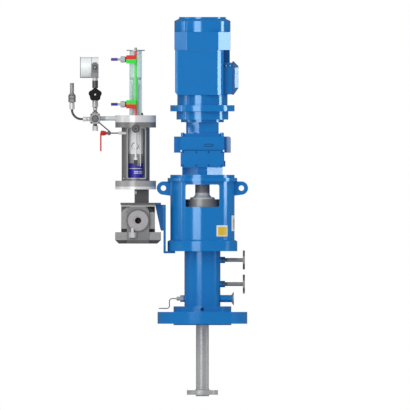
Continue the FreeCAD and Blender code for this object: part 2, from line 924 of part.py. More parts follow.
def box(x, y, z):
    """A box between two limits along each axis."""
    lengths = [f"({high})-({low})" for low, high in (x, y, z)]
    return solid("Part::Box", (x[0], y[0], z[0]), "Z", Length=lengths[0], Width=lengths[1], Height=lengths[2])


def fuse(*pieces):
    if len(pieces) == 1:
        return pieces[0]
    item = doc.addObject("Part::MultiFuse", "Fusion")
    item.Shapes = list(pieces)
    item.Refine = True
    return item


def cut(base, *tools):
    item = doc.addObject("Part::Cut", "Cut")
    item.Base = base
    item.Tool = fuse(*tools)
    item.Refine = True
    return item


def common(*pieces):
    """What several pieces share."""
    item = doc.addObject("Part::MultiCommon", "Common")
    item.Shapes = list(pieces)
    item.Refine = True
    return item


def node(label, *pieces):
    """Give a piece its name. Several pieces share one node as separate solids."""
    item = pieces[0]
    if len(pieces) > 1:
        item = doc.addObject("Part::Compound", "Group")
        item.Links = list(pieces)
    item.Label = label
    NODES.append(item)
    return item


def plane(body, role):
    return next(item for item in body.Origin.OriginFeatures if item.Role == role)


def new_sketch(body, role):
    sketch = body.newObject("Sketcher::SketchObject", "Sketch")
    sketch.AttachmentSupport = (plane(body, role), "")
    sketch.MapMode = "FlatFace"
    return sketch


def constrain(sketch, kind, *where, text):
    """Hold one vertex or circle at the value that the text gives."""
    first = sketch.evalExpression(bound(text))
    value = float(getattr(first, "Value", first))
    if abs(value) < 1e-9 and kind.startswith("Distance"):
        axis = -2 if kind == "DistanceX" else -1
        sketch.addConstraint(Sketcher.Constraint("PointOnObject", where[2], where[3], axis))
        return
    index = sketch.addConstraint(Sketcher.Constraint(kind, *where, value))
    bind(sketch, f"Constraints[{index}]", text)


def polygon(sketch, outline):
    """A closed outline whose corners are all bound to the sheet."""
    spots = []
    for pair in outline:
        values = [sketch.evalExpression(bound(text)) for text in pair]
        spots.append(Vector(*[float(getattr(value, "Value", value)) for value in values], 0))
    count = len(spots)
    for index in range(count):
        sketch.addGeometry(Part.LineSegment(spots[index], spots[(index + 1) % count]), False)
    for index in range(count):
        sketch.addConstraint(Sketcher.Constraint("Coincident", index, 2, (index + 1) % count, 1))
    for index, (first, second) in enumerate(outline):
        constrain(sketch, "DistanceX", -1, 1, index, 1, text=first)
        constrain(sketch, "DistanceY", -1, 1, index, 1, text=second)


def turned(outline, at=("0", "0", "0"), axis="Z", angle=360):
    """A body of revolution: the outline gives radius and height."""
    body = doc.addObject("PartDesign::Body", "Turned")
    sketch = new_sketch(body, "XZ_Plane")
    polygon(sketch, outline)
    feature = body.newObject("PartDesign::Revolution", "Revolution")
    feature.Profile = sketch
    feature.ReferenceAxis = (sketch, ["V_Axis"])
    bind(feature, "Angle", angle)
    return place(body, at, axis)


def ring(inner, outer, low, high, at=("0", "0"), axis="Z"):
    """A plain turned ring between two radii and two heights."""
    outline = [(inner, low), (outer, low), (outer, high), (inner, high)]
    return turned(outline, (at[0], at[1], "0"), axis)


def plate(outline, low, high, role="XZ_Plane"):
    """An outline pushed out square to its plane, between two limits."""
    body = doc.addObject("PartDesign::Body", "Plate")
    sketch = new_sketch(body, role)
    polygon(sketch, outline)
    feature = body.newObject("PartDesign::Pad", "Pad")
    feature.Profile = sketch
    feature.Midplane = True
    bind(feature, "Length", f"({high})-({low})")
    middle = f"(({low})+({high}))/2"
    offset = {"XZ_Plane": ("0", middle, "0"), "XY_Plane": ("0", "0", middle), "YZ_Plane": (middle, "0", "0")}
    return place(body, offset[role])


def mirrored(right):
    """A closed outline from its right half, which runs from the foot up."""
    return [*right, *[(f"-({across})", up) for across, up in reversed(right)]]


def shifted(outline, across):
    return [(f"({across})+({first})", second) for first, second in outline]


def holes(body, radius, circle, count, start=0):
    """A ring of through holes about the body's own axis."""
    sketch = new_sketch(body, "XY_Plane")
    at = Vector(size(circle) / 2, 0, 0)
    sketch.addGeometry(Part.Circle(at, Vector(0, 0, 1), size(radius)), False)
    constrain(sketch, "DistanceX", -1, 1, 0, 3, text=f"{circle}/2*cos({start})")
    constrain(sketch, "DistanceY", -1, 1, 0, 3, text=f"{circle}/2*sin({start})")
    constrain(sketch, "Radius", 0, text=radius)
    pocket = body.newObject("PartDesign::Pocket", "Pocket")
    pocket.Profile = sketch
    pocket.Type = "ThroughAll"
    pocket.Midplane = True
    pattern = body.newObject("PartDesign::PolarPattern", "PolarPattern")
    pattern.Originals = [pocket]
    pattern.Axis = (sketch, ["N_Axis"])
    pattern.Angle = 360
    bind(pattern, "Occurrences", count)
    body.Tip = pattern
    return body


def rounded_window(half_width, low, high, corner, front, back, middle="0"):
    """A block with four rounded corners, square to Y."""
    inner = f"({half_width})-({corner})"
    levels = (f"{low}+{corner}", f"{high}-{corner}")
    wide = box((f"{middle}-({half_width})", f"{middle}+({half_width})"), (front, back), levels)
    tall = box((f"{middle}-({inner})", f"{middle}+({inner})"), (front, back), (low, high))
    corners = []
    for side in ("-", "+"):
        for level in levels:
            corners.append(cylinder(corner, f"({back})-({front})",
                                    (f"{middle}{side}({inner})", front, level), "Y"))
    return fuse(wide, tall, *corners)


def on_circle(circle, turn):
    """A place on a circle about the main axis, by its angle."""
    return f"{circle}*cos({turn})", f"{circle}*sin({turn})"


VESSEL = ("-vessel_x", "0")

# Mounting flange
flange = turned([
    ("tube_radius", "flange_foot"), ("face_radius", "flange_foot"), ("face_radius", "0"),
    ("flange_radius", "0"),
    ("flange_radius", "flange_top"), ("hub_radius", "flange_top"), ("hub_radius", "hub_top"),
    ("tube_radius", "hub_top"),
])
holes(flange, "bolt_hole_radius", "bolt_circle", "flange_hole_count", "180/flange_hole_count")
hub_port = cylinder("hub_port_radius", "2*hub_port_depth",
                    ("0", "-hub_radius-hub_port_depth", "hub_port_z"), "Y")
node("mounting_flange", cut(flange, hub_port))

# Bearing tube, with a seat for a bush at each end
node("bearing_tube", turned([
    ("bush_radius", "flange_foot"), ("tube_radius", "flange_foot"), ("tube_radius", "lantern_flange_top"),
    ("bush_radius", "lantern_flange_top"), ("bush_radius", "lantern_flange_top-bush_length"),
    ("tube_bore", "lantern_flange_top-bush_length"), ("tube_bore", "bush_length"),
    ("bush_radius", "bush_length"),
]))
node("shaft_bushes",
     ring("shaft_fit", "bush_radius", "flange_foot", "bush_length"),
     ring("shaft_fit", "bush_radius", "lantern_flange_top-bush_length", "lantern_flange_top"))

# Cooling jacket with its welded sockets, flush pipe and probe boss
COOLANT_LEVELS = ("coolant_upper_z", "coolant_lower_z")
jacket_body = ring("jacket_inside", "jacket_radius", "hub_top", "jacket_top")
sockets = [cylinder("coolant_socket_radius", "coolant_socket_end-jacket_inside",
                    ("jacket_inside", "0", level), "X")
           for level in COOLANT_LEVELS]
socket_bores = [cylinder("coolant_bore_radius", "coolant_socket_end", ("tube_radius", "0", level), "X")
                for level in COOLANT_LEVELS]
flush_pipe = cylinder("flush_pipe_radius", "flush_pipe_end-tube_radius", ("tube_radius", "0", "flush_z"), "X")
flush_bore = cylinder("flush_bore_radius", "flush_pipe_end", ("tube_radius", "0", "flush_z"), "X")
probe_boss = cylinder("probe_boss_radius", "probe_boss_end-jacket_inside",
                      ("-probe_boss_end", "0", "flush_z"), "X")
probe_bore = cylinder("probe_well_radius", "probe_boss_end", ("-probe_boss_end", "0", "flush_z"), "X")
node("cooling_jacket", cut(fuse(jacket_body, flush_pipe, probe_boss, *sockets),
                           flush_bore, probe_bore, *socket_bores))


def coolant_nozzle(level):
    """A stainless pipe with its flange, turned about X."""
    outer_end = "coolant_pipe_length+coolant_flange_thickness"
    body = turned([
        ("coolant_bore_radius", "0"), ("coolant_pipe_radius", "0"),
        ("coolant_pipe_radius", "coolant_pipe_length"),
        ("coolant_flange_radius", "coolant_pipe_length"), ("coolant_flange_radius", outer_end),
        ("coolant_bore_radius", outer_end),
    ], ("coolant_socket_end", "0", level), "X")
    return holes(body, "coolant_hole_radius", "coolant_bolt_circle", "coolant_hole_count",
                 "180/coolant_hole_count")


ferrule = turned([
    ("flush_bore_radius", "0"), ("flush_pipe_radius", "0"),
    ("ferrule_radius", "ferrule_thickness-ferrule_rim"),
    ("ferrule_radius", "ferrule_thickness"), ("flush_bore_radius", "ferrule_thickness"),
], ("flush_pipe_end", "0", "flush_z"), "X")
node("side_nozzles", *[coolant_nozzle(level) for level in COOLANT_LEVELS], ferrule)

# Temperature probe: hexagon nut, sleeve and the well inside the jacket
probe_nut = hexagon("probe_boss_radius", "probe_nut_length", ("-probe_nut_end", "0", "flush_z"), "X")
probe_sleeve = cylinder("probe_sleeve_radius", "probe_sleeve_length", ("-probe_sleeve_end", "0", "flush_z"),
                        "X")
probe_well = cylinder("probe_well_radius", "probe_boss_end-tube_radius-probe_well_gap",
                      ("-probe_boss_end", "0", "flush_z"), "X")
node("temperature_probe", fuse(probe_nut, probe_sleeve, probe_well))


def elbow(bend, radius, at, start, normal):
    """A quarter bend that starts towards one way and turns about the other."""
    item = solid("Part::Torus", at, Rotation(start, Vector(), normal, "ZXY"), Radius1=bend, Radius2=radius)
    item.Angle3 = 90
    return item


# The probe's stiff sheathed lead: down, then out to its sealed end
lead_bend_x = "-lead_down_x+lead_bend"
lead_runs = [
    cylinder("lead_radius", "lead_down_x-lead_bend-probe_sleeve_end", (lead_bend_x, "0", "flush_z"), "X"),
    elbow("lead_bend", "lead_radius", (lead_bend_x, "0", "flush_z-lead_bend"), Vector(-1, 0, 0),
          Vector(0, 1, 0)),
    cylinder("lead_radius", "flush_z-lead_low_z-2*lead_bend", ("-lead_down_x", "0", "lead_low_z+lead_bend")),
    elbow("lead_bend", "lead_radius", ("-lead_down_x-lead_bend", "0", "lead_low_z+lead_bend"),
          Vector(1, 0, 0), Vector(0, 1, 0)),
    cylinder("lead_radius", "lead_end_x-lead_down_x-lead_bend", ("-lead_end_x", "0", "lead_low_z"), "X"),
]
node("probe_lead", fuse(*lead_runs))

# Agitator shaft, with its flange and spigot at the foot
shaft = turned([
    ("0", "spigot_foot"), ("spigot_radius", "spigot_foot"), ("spigot_radius", "shaft_flange_foot"),
    ("shaft_flange_radius", "shaft_flange_foot"), ("shaft_flange_radius", "shaft_flange_top"),
    ("shaft_collar_radius", "shaft_flange_top"), ("shaft_radius", "shaft_flange_top+shaft_collar_height"),
    ("shaft_radius", "shaft_top"), ("0", "shaft_top"),
])
holes(shaft, "shaft_hole_radius", "shaft_bolt_circle", "shaft_hole_count")
node("agitator_shaft", shaft)


def magnets(inner, outer):
    """A ring of magnet segments about the main axis."""
    pieces = []
    pitch = 360 / size("magnet_count")
    for index in range(int(size("magnet_count"))):
        body = turned([(inner, "magnet_bottom"), (outer, "magnet_bottom"), (outer, "magnet_top"),
                       (inner, "magnet_top")], angle="360/magnet_count-magnet_gap_angle")
        body.Placement.Rotation = Rotation(Vector(0, 0, 1), pitch * index)
        pieces.append(body)
    return pieces


node("inner_magnet_rotor", turned([
    ("shaft_radius", "rotor_low"), ("inner_hub_radius", "rotor_low"), ("inner_hub_radius", "web_low"),
    ("inner_rim_bore", "web_low"), ("inner_rim_bore", "rotor_low"), ("inner_magnet_inner", "rotor_low"),
    ("inner_magnet_inner", "rotor_high"), ("inner_rim_bore", "rotor_high"), ("inner_rim_bore", "web_high"),
    ("inner_hub_radius", "web_high"), ("inner_hub_radius", "rotor_high"), ("shaft_radius", "rotor_high"),
]))
node("inner_magnets", *magnets("inner_magnet_inner", "inner_magnet_outer"))

# Containment can: the closed shell between the two rotors
node("containment_can", turned([
    ("can_bore", "lantern_flange_top"), ("can_flange_radius", "lantern_flange_top"),
    ("can_flange_radius", "lantern_flange_top+can_flange_thickness"),
    ("can_outer", "lantern_flange_top+can_flange_thickness"), ("can_outer", "can_shoulder"),
    ("can_outer-can_dome", "can_end"), ("0", "can_end"), ("0", "can_end-can_wall"),
    ("can_bore-can_dome", "can_end-can_wall"), ("can_bore", "can_shoulder-can_wall/2"),
]))

node("outer_magnet_rotor", turned([
    ("0", "rotor_ceiling"), ("outer_magnet_outer", "rotor_ceiling"), ("outer_magnet_outer", "rotor_low"),
    ("outer_rotor_radius", "rotor_low"), ("outer_rotor_radius", "rotor_shoulder"),
    ("disc_radius", "disc_bottom"),
    ("disc_radius", "disc_top"), ("0", "disc_top"),
]))
node("outer_magnets", *magnets("outer_magnet_inner", "outer_magnet_outer"))
node("coupling_hub", turned([
    ("output_shaft_radius", "disc_top"), ("hub_step_radius", "disc_top"), ("hub_step_radius", "hub_step_top"),
    ("hub_flare_radius", "hub_step_top+hub_flare_step"), ("coupling_hub_radius", "hub_flare_top"),
    ("coupling_hub_radius", "coupling_hub_top"), ("output_shaft_radius", "coupling_hub_top"),
]))

# Lantern with its two windows
lantern_body = turned([
    ("tube_radius", "jacket_top"), ("lantern_flange_radius", "jacket_top"),
    ("lantern_flange_radius", "lantern_flange_top"), ("lantern_radius", "lantern_flange_top+lantern_chamfer"),
    ("lantern_radius", "lantern_ring_bottom"), ("lantern_ring_radius", "lantern_ring_bottom"),
    ("lantern_ring_radius", "lantern_top"), ("lantern_top_bore", "lantern_top"),
    ("lantern_top_bore", "lantern_ring_bottom"), ("lantern_inside", "window_top+window_corner"),
    ("lantern_inside", "lantern_flange_top"), ("tube_radius", "lantern_flange_top"),
])
windows = rounded_window("window_half_width", "window_bottom", "window_top", "window_corner",
                         "-lantern_ring_radius", "lantern_ring_radius")
node("lantern", cut(lantern_body, windows))


def lifting_lug(side):
    """A rounded plate with an eye, welded to one side of the lantern."""
    root = f"{side}*lantern_inside"
    eye_x = f"{side}*lug_hole_x"
    faces = ("-lug_thickness/2", "lug_thickness/2")
    web = plate([
        (root, "lug_foot_z"), (eye_x, "lug_hole_z-lug_radius"), (eye_x, "lug_hole_z+lug_radius"),
        (root, "lug_hole_z+lug_radius"),
    ], *faces)
    eye = cylinder("lug_radius", "lug_thickness", (eye_x, faces[0], "lug_hole_z"), "Y")
    hole = cylinder("lug_hole_radius", "2*lug_thickness", (eye_x, "-lug_thickness", "lug_hole_z"), "Y")
    drum = cylinder("lantern_radius", "4*lug_radius", ("0", "0", "lug_hole_z-2*lug_radius"))
    return cut(fuse(web, eye), hole, drum)


node("lifting_lugs", lifting_lug("-1"), lifting_lug("1"))

# Gearbox housing: flange, eight-sided neck, two blocks, the top flange and its four ears
neck = plate([
    ("-neck_flat_half", "-neck_half_width"), ("neck_flat_half", "-neck_half_width"),
    ("neck_half_width", "-neck_flat_half"), ("neck_half_width", "neck_flat_half"),
    ("neck_flat_half", "neck_half_width"), ("-neck_flat_half", "neck_half_width"),
    ("-neck_half_width", "neck_flat_half"), ("-neck_half_width", "-neck_flat_half"),
], "gearbox_neck_bottom", "block_bottom", "XY_Plane")
gearbox_flange = cylinder("gearbox_flange_radius", "gearbox_flange_thickness", ("0", "0", "lantern_top"))
block_sides = (("-block_half_width", "block_half_width"), ("-block_front", "block_back"))
lower_block = box(*block_sides, ("block_bottom", "waist_bottom"))
waist = box(("-block_half_width+waist_inset", "block_half_width-waist_inset"),
            ("-block_front+waist_inset", "block_back-waist_inset"), ("waist_bottom", "waist_top"))
upper_block = box(*block_sides, ("waist_top", "ear_flange_bottom"))
ear_flange = box(("-ear_flange_half", "ear_flange_half"), ("-ear_flange_half", "block_back"),
                 ("ear_flange_bottom", "ear_flange_top"))
ears = [cylinder("ear_radius", "ear_height", (f"{side}ear_x", depth, "ear_flange_bottom"))
        for side in ("-", "") for depth in ("-ear_y", "block_back-block_front+ear_y")]
cavity = box(("-cavity_half_width", "cavity_half_width"), ("-cavity_front", "cavity_back"),
             ("cavity_bottom", "cavity_top"))
output_bore = cylinder("output_bore", "cavity_bottom-lantern_top", ("0", "0", "lantern_top"))
input_bore = cylinder("adapter_bore", "ear_flange_top-cavity_top", ("0", "0", "cavity_top"))
counter_bores = [cylinder("counter_bearing_radius", "counter_bearing_width", ("0", "gear_distance", level))
                 for level in ("cavity_bottom-counter_bearing_width", "cavity_top")]
cover_opening = box(("-cavity_half_width", "cavity_half_width"), ("-block_front", "-cavity_front"),
                    ("cavity_bottom", "cover_top-cover_corner"))


def flush_places(circle):
    """Where the four sunk screws of a round flange stand."""
    count = int(size("flange_screw_count"))
    return [on_circle(circle, f"(180/{count}+360/{count}*{index})") for index in range(count)]


def screw_recesses(circle, top):
    return [cylinder("flange_screw_radius+running_fit", "flange_screw_head",
                     (*at, f"{top}-flange_screw_head"))
            for at in flush_places(circle)]


node("gearbox_housing", cut(fuse(neck, gearbox_flange, lower_block, waist, upper_block, ear_flange, *ears),
                            cavity, output_bore, input_bore, cover_opening, *counter_bores,
                            *screw_recesses("gearbox_screw_circle", "gearbox_neck_bottom")))

# Covers: the bolted front cover, the covers on both sides and a plain oval boss
front_cover = rounded_window("cover_half_width", "cover_bottom", "cover_top", "cover_corner",
                             "-cover_face", "-block_front")
side_depth = ("-side_cover_half_depth", "side_cover_half_depth")
side_left = box(("-side_cover_end", "-block_half_width"), side_depth,
                ("side_cover_bottom", "ear_flange_bottom"))
side_right = fuse(
    box(("block_half_width", "side_cover_end"), side_depth, ("side_cover_bottom", "side_cover_shoulder")),
    box(("block_half_width", "side_cover_end-side_cover_corner"), side_depth,
        ("side_cover_bottom", "ear_flange_bottom")),
    cylinder("side_cover_corner", "2*side_cover_half_depth",
             ("side_cover_end-side_cover_corner", "-side_cover_half_depth", "side_cover_shoulder"), "Y"))
side_low = box(("block_half_width", "block_half_width+low_cover_reach"), side_depth,
               ("block_bottom", "low_cover_top"))
oval_boss = rounded_window("plug_half_length", "plug_z-plug_half_height", "plug_z+plug_half_height",
                           "0.98*plug_half_height", "-block_front-plug_thickness", "-block_front", "plug_x")
node("gearbox_covers", front_cover, side_left, side_right, side_low, oval_boss)

# Bearings of the gearbox and the motor
COUNTERSHAFT = ("0", "gear_distance")
node("shaft_bearings",
     ring("output_fit", "output_bore", "lower_bearing_z", "lower_bearing_z+bearing_width"),
     ring("output_fit", "output_bore", "upper_bearing_z", "upper_bearing_z+bearing_width"),
     ring("counter_fit", "counter_bearing_radius", "cavity_bottom-counter_bearing_width", "cavity_bottom",
          COUNTERSHAFT),
     ring("counter_fit", "counter_bearing_radius", "cavity_top", "cavity_top+counter_bearing_width",
          COUNTERSHAFT),
     ring("motor_shaft_radius+running_fit", "motor_bearing_radius", "drive_bearing_z", "drive_bearing_top"),
     ring("fan_seat_radius+running_fit", "rear_bearing_radius", "rear_bearing_z", "rear_bearing_top"))


def tooth_angle(teeth, radius):
    """Half the angle of one involute tooth at a radius."""
    pressure = math.radians(size("pressure_angle"))
    pitch_radius = size("gear_module") * teeth / 2
    base = pitch_radius * math.cos(pressure)
    local = math.acos(min(1, base / radius))
    involute = math.tan(pressure) - pressure - math.tan(local) + local
    return math.pi / 2 / teeth - size("gear_backlash") / 4 / pitch_radius + involute


def gear_shape(count, bore, low, width, first_angle=0):
    """A straight-cut gear. With no bore it is a pinion cut on its shaft."""
    teeth = int(size(count))
    module = size("gear_module")
    pitch_radius = module * teeth / 2
    root = pitch_radius - size("tooth_dedendum") * module
    tip = pitch_radius + size("tooth_addendum") * module
    radii = [root, (root + pitch_radius) / 2, pitch_radius, tip]
    points = []
    for index in range(teeth):
        middle = math.radians(first_angle) + 2 * math.pi * index / teeth
        for side in (-1, 1):
            for radius in radii[::-side]:
                angle = middle + side * tooth_angle(teeth, radius)
                points.append(Vector(radius * math.cos(angle), radius * math.sin(angle), size(low)))
    shape = Part.Face(Part.makePolygon(points + points[:1])).extrude(Vector(0, 0, size(width)))
    if bore:
        shape = shape.cut(Part.makeCylinder(size(bore), size(width), Vector(0, 0, size(low))))
    return shape


def gear(name, shape, at=("0", "0")):
    item = doc.addObject("Part::Feature", name)
    item.Shape = shape
    return place(item, (*at, "0"))


# The gears point a tooth or a gap at each other across the line between their axes
TO_COUNTERSHAFT = 90
TO_MAIN_AXIS = -90
pinion = gear("Pinion", gear_shape("pinion_teeth", None, "first_stage_z", "first_stage_width",
                                   TO_COUNTERSHAFT))
wheel = gear("Wheel", gear_shape("wheel_teeth", "countershaft_radius", "first_stage_z", "first_stage_width",
                                 TO_MAIN_AXIS + 180 / size("wheel_teeth")), COUNTERSHAFT)
second_pinion = gear("SecondPinion", gear_shape("second_pinion_teeth", None, "second_stage_z",
                                                "second_stage_width", TO_MAIN_AXIS), COUNTERSHAFT)
output_wheel = gear("OutputWheel", gear_shape("output_teeth", "output_shaft_radius", "second_stage_z",
                                              "second_stage_width",
                                              TO_COUNTERSHAFT + 180 / size("output_teeth")))

# Output shaft and its gear
node("output_shaft", cylinder("output_shaft_radius", "output_shaft_top-disc_top", ("0", "0", "disc_top")))
node("output_gear", output_wheel)

# Countershaft with its own pinion, and the wheel that drives it
counter_bar = cylinder("countershaft_radius", "counter_head-counter_foot", (*COUNTERSHAFT, "counter_foot"))
node("countershaft", fuse(counter_bar, second_pinion))
node("intermediate_gear", wheel)

# Motor adapter: the neck under two rings
adapter_neck = plate([
    ("-adapter_neck_half", "-adapter_left_flat"),
    ("-adapter_neck_half+adapter_left_slope", "-adapter_left_flat-adapter_left_rise"),
    ("-adapter_front_left", "-adapter_neck_half"),
    ("adapter_neck_half-adapter_right_slope", "-adapter_neck_half"),
    ("adapter_neck_half", "-adapter_neck_half+adapter_right_rise"),
    ("adapter_neck_half", "adapter_neck_half-adapter_right_rise"),
    ("adapter_neck_half-adapter_right_slope", "adapter_neck_half"),
    ("-adapter_front_left", "adapter_neck_half"),
    ("-adapter_neck_half+adapter_left_slope", "adapter_left_flat+adapter_left_rise"),
    ("-adapter_neck_half", "adapter_left_flat"),
], "ear_flange_top", "adapter_neck_top", "XY_Plane")
adapter_step = cylinder("adapter_step_radius", "adapter_step_height", ("0", "0", "adapter_neck_top"))
adapter_ring = cylinder("adapter_ring_radius", "adapter_ring_height", ("0", "0", "adapter_step_top"))
adapter_hole = cylinder("adapter_bore", "motor_flange_bottom-ear_flange_top", ("0", "0", "ear_flange_top"))
node("motor_adapter", cut(fuse(adapter_neck, adapter_step, adapter_ring), adapter_hole))

# Motor shields: the flanged drive end and the rear plate
drive_shield = turned([
    ("shield_bore", "motor_flange_bottom"), ("motor_flange_radius", "motor_flange_bottom"),
    ("motor_flange_radius", "motor_flange_top"), ("shield_radius", "motor_flange_top"),
    ("shield_radius", "frame_bottom"), ("motor_bearing_radius+shield_wall", "frame_bottom"),
    ("motor_bearing_radius+shield_wall", "drive_bearing_top"), ("motor_bearing_radius", "drive_bearing_top"),
    ("motor_bearing_radius", "drive_bearing_z"), ("shield_bore", "drive_bearing_z"),
])
rear_shield = turned([
    ("rear_bearing_radius", "rear_bearing_z"), ("rear_bearing_radius+shield_wall", "rear_bearing_z"),
    ("rear_bearing_radius+shield_wall", "frame_top-shield_wall"), ("frame_bore", "frame_top-shield_wall"),
    ("frame_bore", "frame_top"), ("rear_bore", "frame_top"), ("rear_bore", "rear_bearing_top"),
    ("rear_bearing_radius", "rear_bearing_top"),
])
flanged_shield = cut(drive_shield, *screw_recesses("motor_screw_circle", "motor_flange_top"))
node("motor_end_shields", flanged_shield, rear_shield)

# Motor frame: the eight-sided upper part, and the lower part with a recess for the terminal box
octagon = plate([
    ("-octagon_flat_half", "-frame_half_width"), ("octagon_flat_half", "-frame_half_width"),
    ("frame_half_width", "-octagon_flat_half"), ("frame_half_width", "octagon_flat_half"),
    ("octagon_flat_half", "frame_half_width"), ("-octagon_flat_half", "frame_half_width"),
    ("-frame_half_width", "octagon_flat_half"), ("-frame_half_width", "-octagon_flat_half"),
], "octagon_bottom", "frame_top", "XY_Plane")
lower_frame = plate([
    ("-frame_left+frame_corner", "-frame_front"), ("frame_chamfer_start", "-frame_front"),
    ("frame_chamfer_end", "-frame_front+frame_chamfer"), ("frame_recess", "-frame_front+frame_chamfer"),
    ("frame_recess", "frame_back_step"), ("frame_left", "frame_back_step"),
    ("frame_left", "frame_front-frame_corner"), ("frame_left-frame_corner", "frame_front"),
    ("-frame_left+frame_corner", "frame_front"), ("-frame_left", "frame_front-frame_corner"),
    ("-frame_left", "-frame_front+frame_corner"),
], "frame_bottom", "octagon_bottom", "XY_Plane")
frame_feet = plate(mirrored([
    ("frame_left-frame_foot_inset", "frame_bottom"), ("frame_left", "frame_bottom+frame_foot_rise"),
    ("frame_left", "octagon_bottom"),
]), "-frame_front", "frame_front")
frame_hole = cylinder("frame_bore", "frame_top-frame_bottom", ("0", "0", "frame_bottom"))
node("motor_frame", cut(fuse(octagon, common(lower_frame, frame_feet)), frame_hole))

node("stator",
     ring("stator_bore", "frame_bore", "stator_bottom", "stator_top"),
     ring("winding_inner", "winding_outer", "stator_bottom-winding_height", "stator_bottom"),
     ring("winding_inner", "winding_outer", "stator_top", "winding_top"))
node("rotor_core", ring("motor_shaft_radius", "stator_bore-air_gap", "stator_bottom", "stator_top"))

motor_spindle = turned([
    ("0", "first_stage_z+first_stage_width"), ("motor_shaft_neck", "first_stage_z+first_stage_width"),
    ("motor_shaft_neck", "motor_shaft_step_z"), ("motor_shaft_radius", "motor_shaft_step_z"),
    ("motor_shaft_radius", "winding_top"), ("fan_seat_radius", "winding_top"), ("fan_seat_radius", "fan_top"),
    ("0", "fan_top"),
])
node("motor_shaft", fuse(motor_spindle, pinion))

# Fan with radial blades, and the cowl over it with its slotted grille
fan_body = turned([
    ("fan_seat_radius", "fan_bottom"), ("fan_radius", "fan_bottom"), ("fan_radius", "fan_bottom+fan_plate"),
    ("fan_hub_radius", "fan_bottom+fan_plate"), ("fan_hub_radius", "fan_top"), ("fan_seat_radius", "fan_top"),
])
blades = []
for index in range(int(size("fan_blade_count"))):
    turn = f"(360*{index}/fan_blade_count)"
    blade = solid("Part::Box", (
        f"fan_blade_root*cos({turn})+fan_blade/2*sin({turn})",
        f"fan_blade_root*sin({turn})-fan_blade/2*cos({turn})",
        "fan_bottom"), "Z", Length="fan_radius-fan_blade_root", Width="fan_blade",
        Height="fan_height-fan_plate")
    blade.Placement.Rotation = Rotation(Vector(0, 0, 1), 360 * index / size("fan_blade_count"))
    blades.append(blade)
node("fan_wheel", fuse(fan_body, *blades))

cowl = turned([
    ("frame_half_width", "frame_top"), ("frame_half_width", "cowl_straight_top"),
    ("cowl_cap_radius", "cowl_cone_top"), ("cowl_cap_radius", "cowl_top"), ("0", "cowl_top"),
    ("0", "cowl_top-cowl_wall"), ("cowl_cap_radius-cowl_wall", "cowl_top-cowl_wall"),
    ("cowl_cap_radius-cowl_wall", "cowl_cone_top-cowl_wall/2"),
    ("frame_half_width-cowl_wall", "cowl_straight_top-cowl_wall/2"),
    ("frame_half_width-cowl_wall", "frame_top"),
])
slots = []
rows = int(size("grille_rows"))
for index in range(-rows, rows + 1):
    middle = f"({index}*grille_pitch)"
    reach = f"sqrt(grille_radius^2-{middle}^2)"
    slots.append(box((f"-{reach}", reach), (f"{middle}-grille_slot/2", f"{middle}+grille_slot/2"),
                     ("cowl_top-2*cowl_wall", "cowl_top+cowl_wall")))
node("fan_cowl", cut(cowl, *slots))

# Terminal box, with its glands at the back, and its lid chamfered on every side
box_shell = box(("frame_recess", "lid_start"), ("-box_half_width", "box_half_width"),
                ("box_bottom", "box_top"))
box_room = box(("frame_recess+box_wall", "lid_start"),
               ("-box_half_width+box_wall", "box_half_width-box_wall"),
               ("box_bottom+box_wall", "box_top-box_wall"))
glands = [hexagon("gland_radius", "gland_length",
                  ("frame_recess+box_depth/2", "box_half_width", f"box_bottom+{step}*gland_spacing"), "Y")
          for step in (1, 2)]
node("terminal_box", cut(box_shell, box_room), *glands)
lid_profile = plate([
    ("lid_start", "lid_bottom"), ("lid_end-lid_slope", "lid_bottom"), ("lid_end", "lid_bottom+lid_low_slope"),
    ("lid_end", "lid_top-lid_slope"), ("lid_end-lid_slope", "lid_top"), ("lid_start", "lid_top"),
], "-lid_half_width", "lid_half_width")
lid_plan = plate([
    ("lid_start", "-lid_half_width"), ("lid_end-lid_slope", "-lid_half_width"),
    ("lid_end", "-lid_half_width+lid_side_slope"), ("lid_end", "lid_half_width-lid_side_slope"),
    ("lid_end-lid_slope", "lid_half_width"), ("lid_start", "lid_half_width"),
], "lid_bottom", "lid_top", "XY_Plane")
lid_room = box(("lid_start", "lid_end-box_wall"),
               ("-lid_half_width+lid_side_slope", "lid_half_width-lid_side_slope"),
               ("lid_bottom+lid_low_slope", "lid_top-lid_slope"))
node("terminal_box_lid", cut(common(lid_profile, lid_plan), lid_room))

# Bracket: foot, upright, gusset and the tongue that carries the vessel
upright = box(("-bracket_outer", "-bracket_inner"), ("-bracket_half_depth", "bracket_half_depth"),
              ("bracket_bottom", "plate_bottom"))
foot = box(("-bracket_outer", "-bracket_foot_end"), ("-bracket_foot_half", "bracket_foot_half"),
           ("bracket_bottom", "jacket_top"))
gusset = plate([
    ("-bracket_outer-gusset_reach", "plate_bottom"),
    ("-bracket_outer-gusset_low_reach", "gusset_low+gusset_tip_rise"),
    ("-bracket_outer-gusset_tip_reach", "gusset_low"), ("-bracket_outer", "gusset_low"),
    ("-bracket_outer", "plate_bottom"),
], "-gusset_thickness/2", "gusset_thickness/2")
tongue = box(("-tongue_end", "-tongue_start"), ("-tongue_half_depth", "tongue_half_depth"),
             ("plate_bottom", "plate_top"))
node("support_bracket", fuse(upright, foot, gusset, tongue))

top_plate = box(("-plate_left", "-plate_right"), ("-plate_half_depth", "plate_half_depth"),
                ("plate_bottom", "plate_top"))
tongue_slot = box(("-tongue_end-tongue_slot_gap", "-plate_right"),
                  ("-tongue_half_depth-tongue_slot_gap", "tongue_half_depth+tongue_slot_gap"),
                  ("plate_bottom", "plate_top"))
node("block_top_plate", cut(top_plate, tongue_slot))

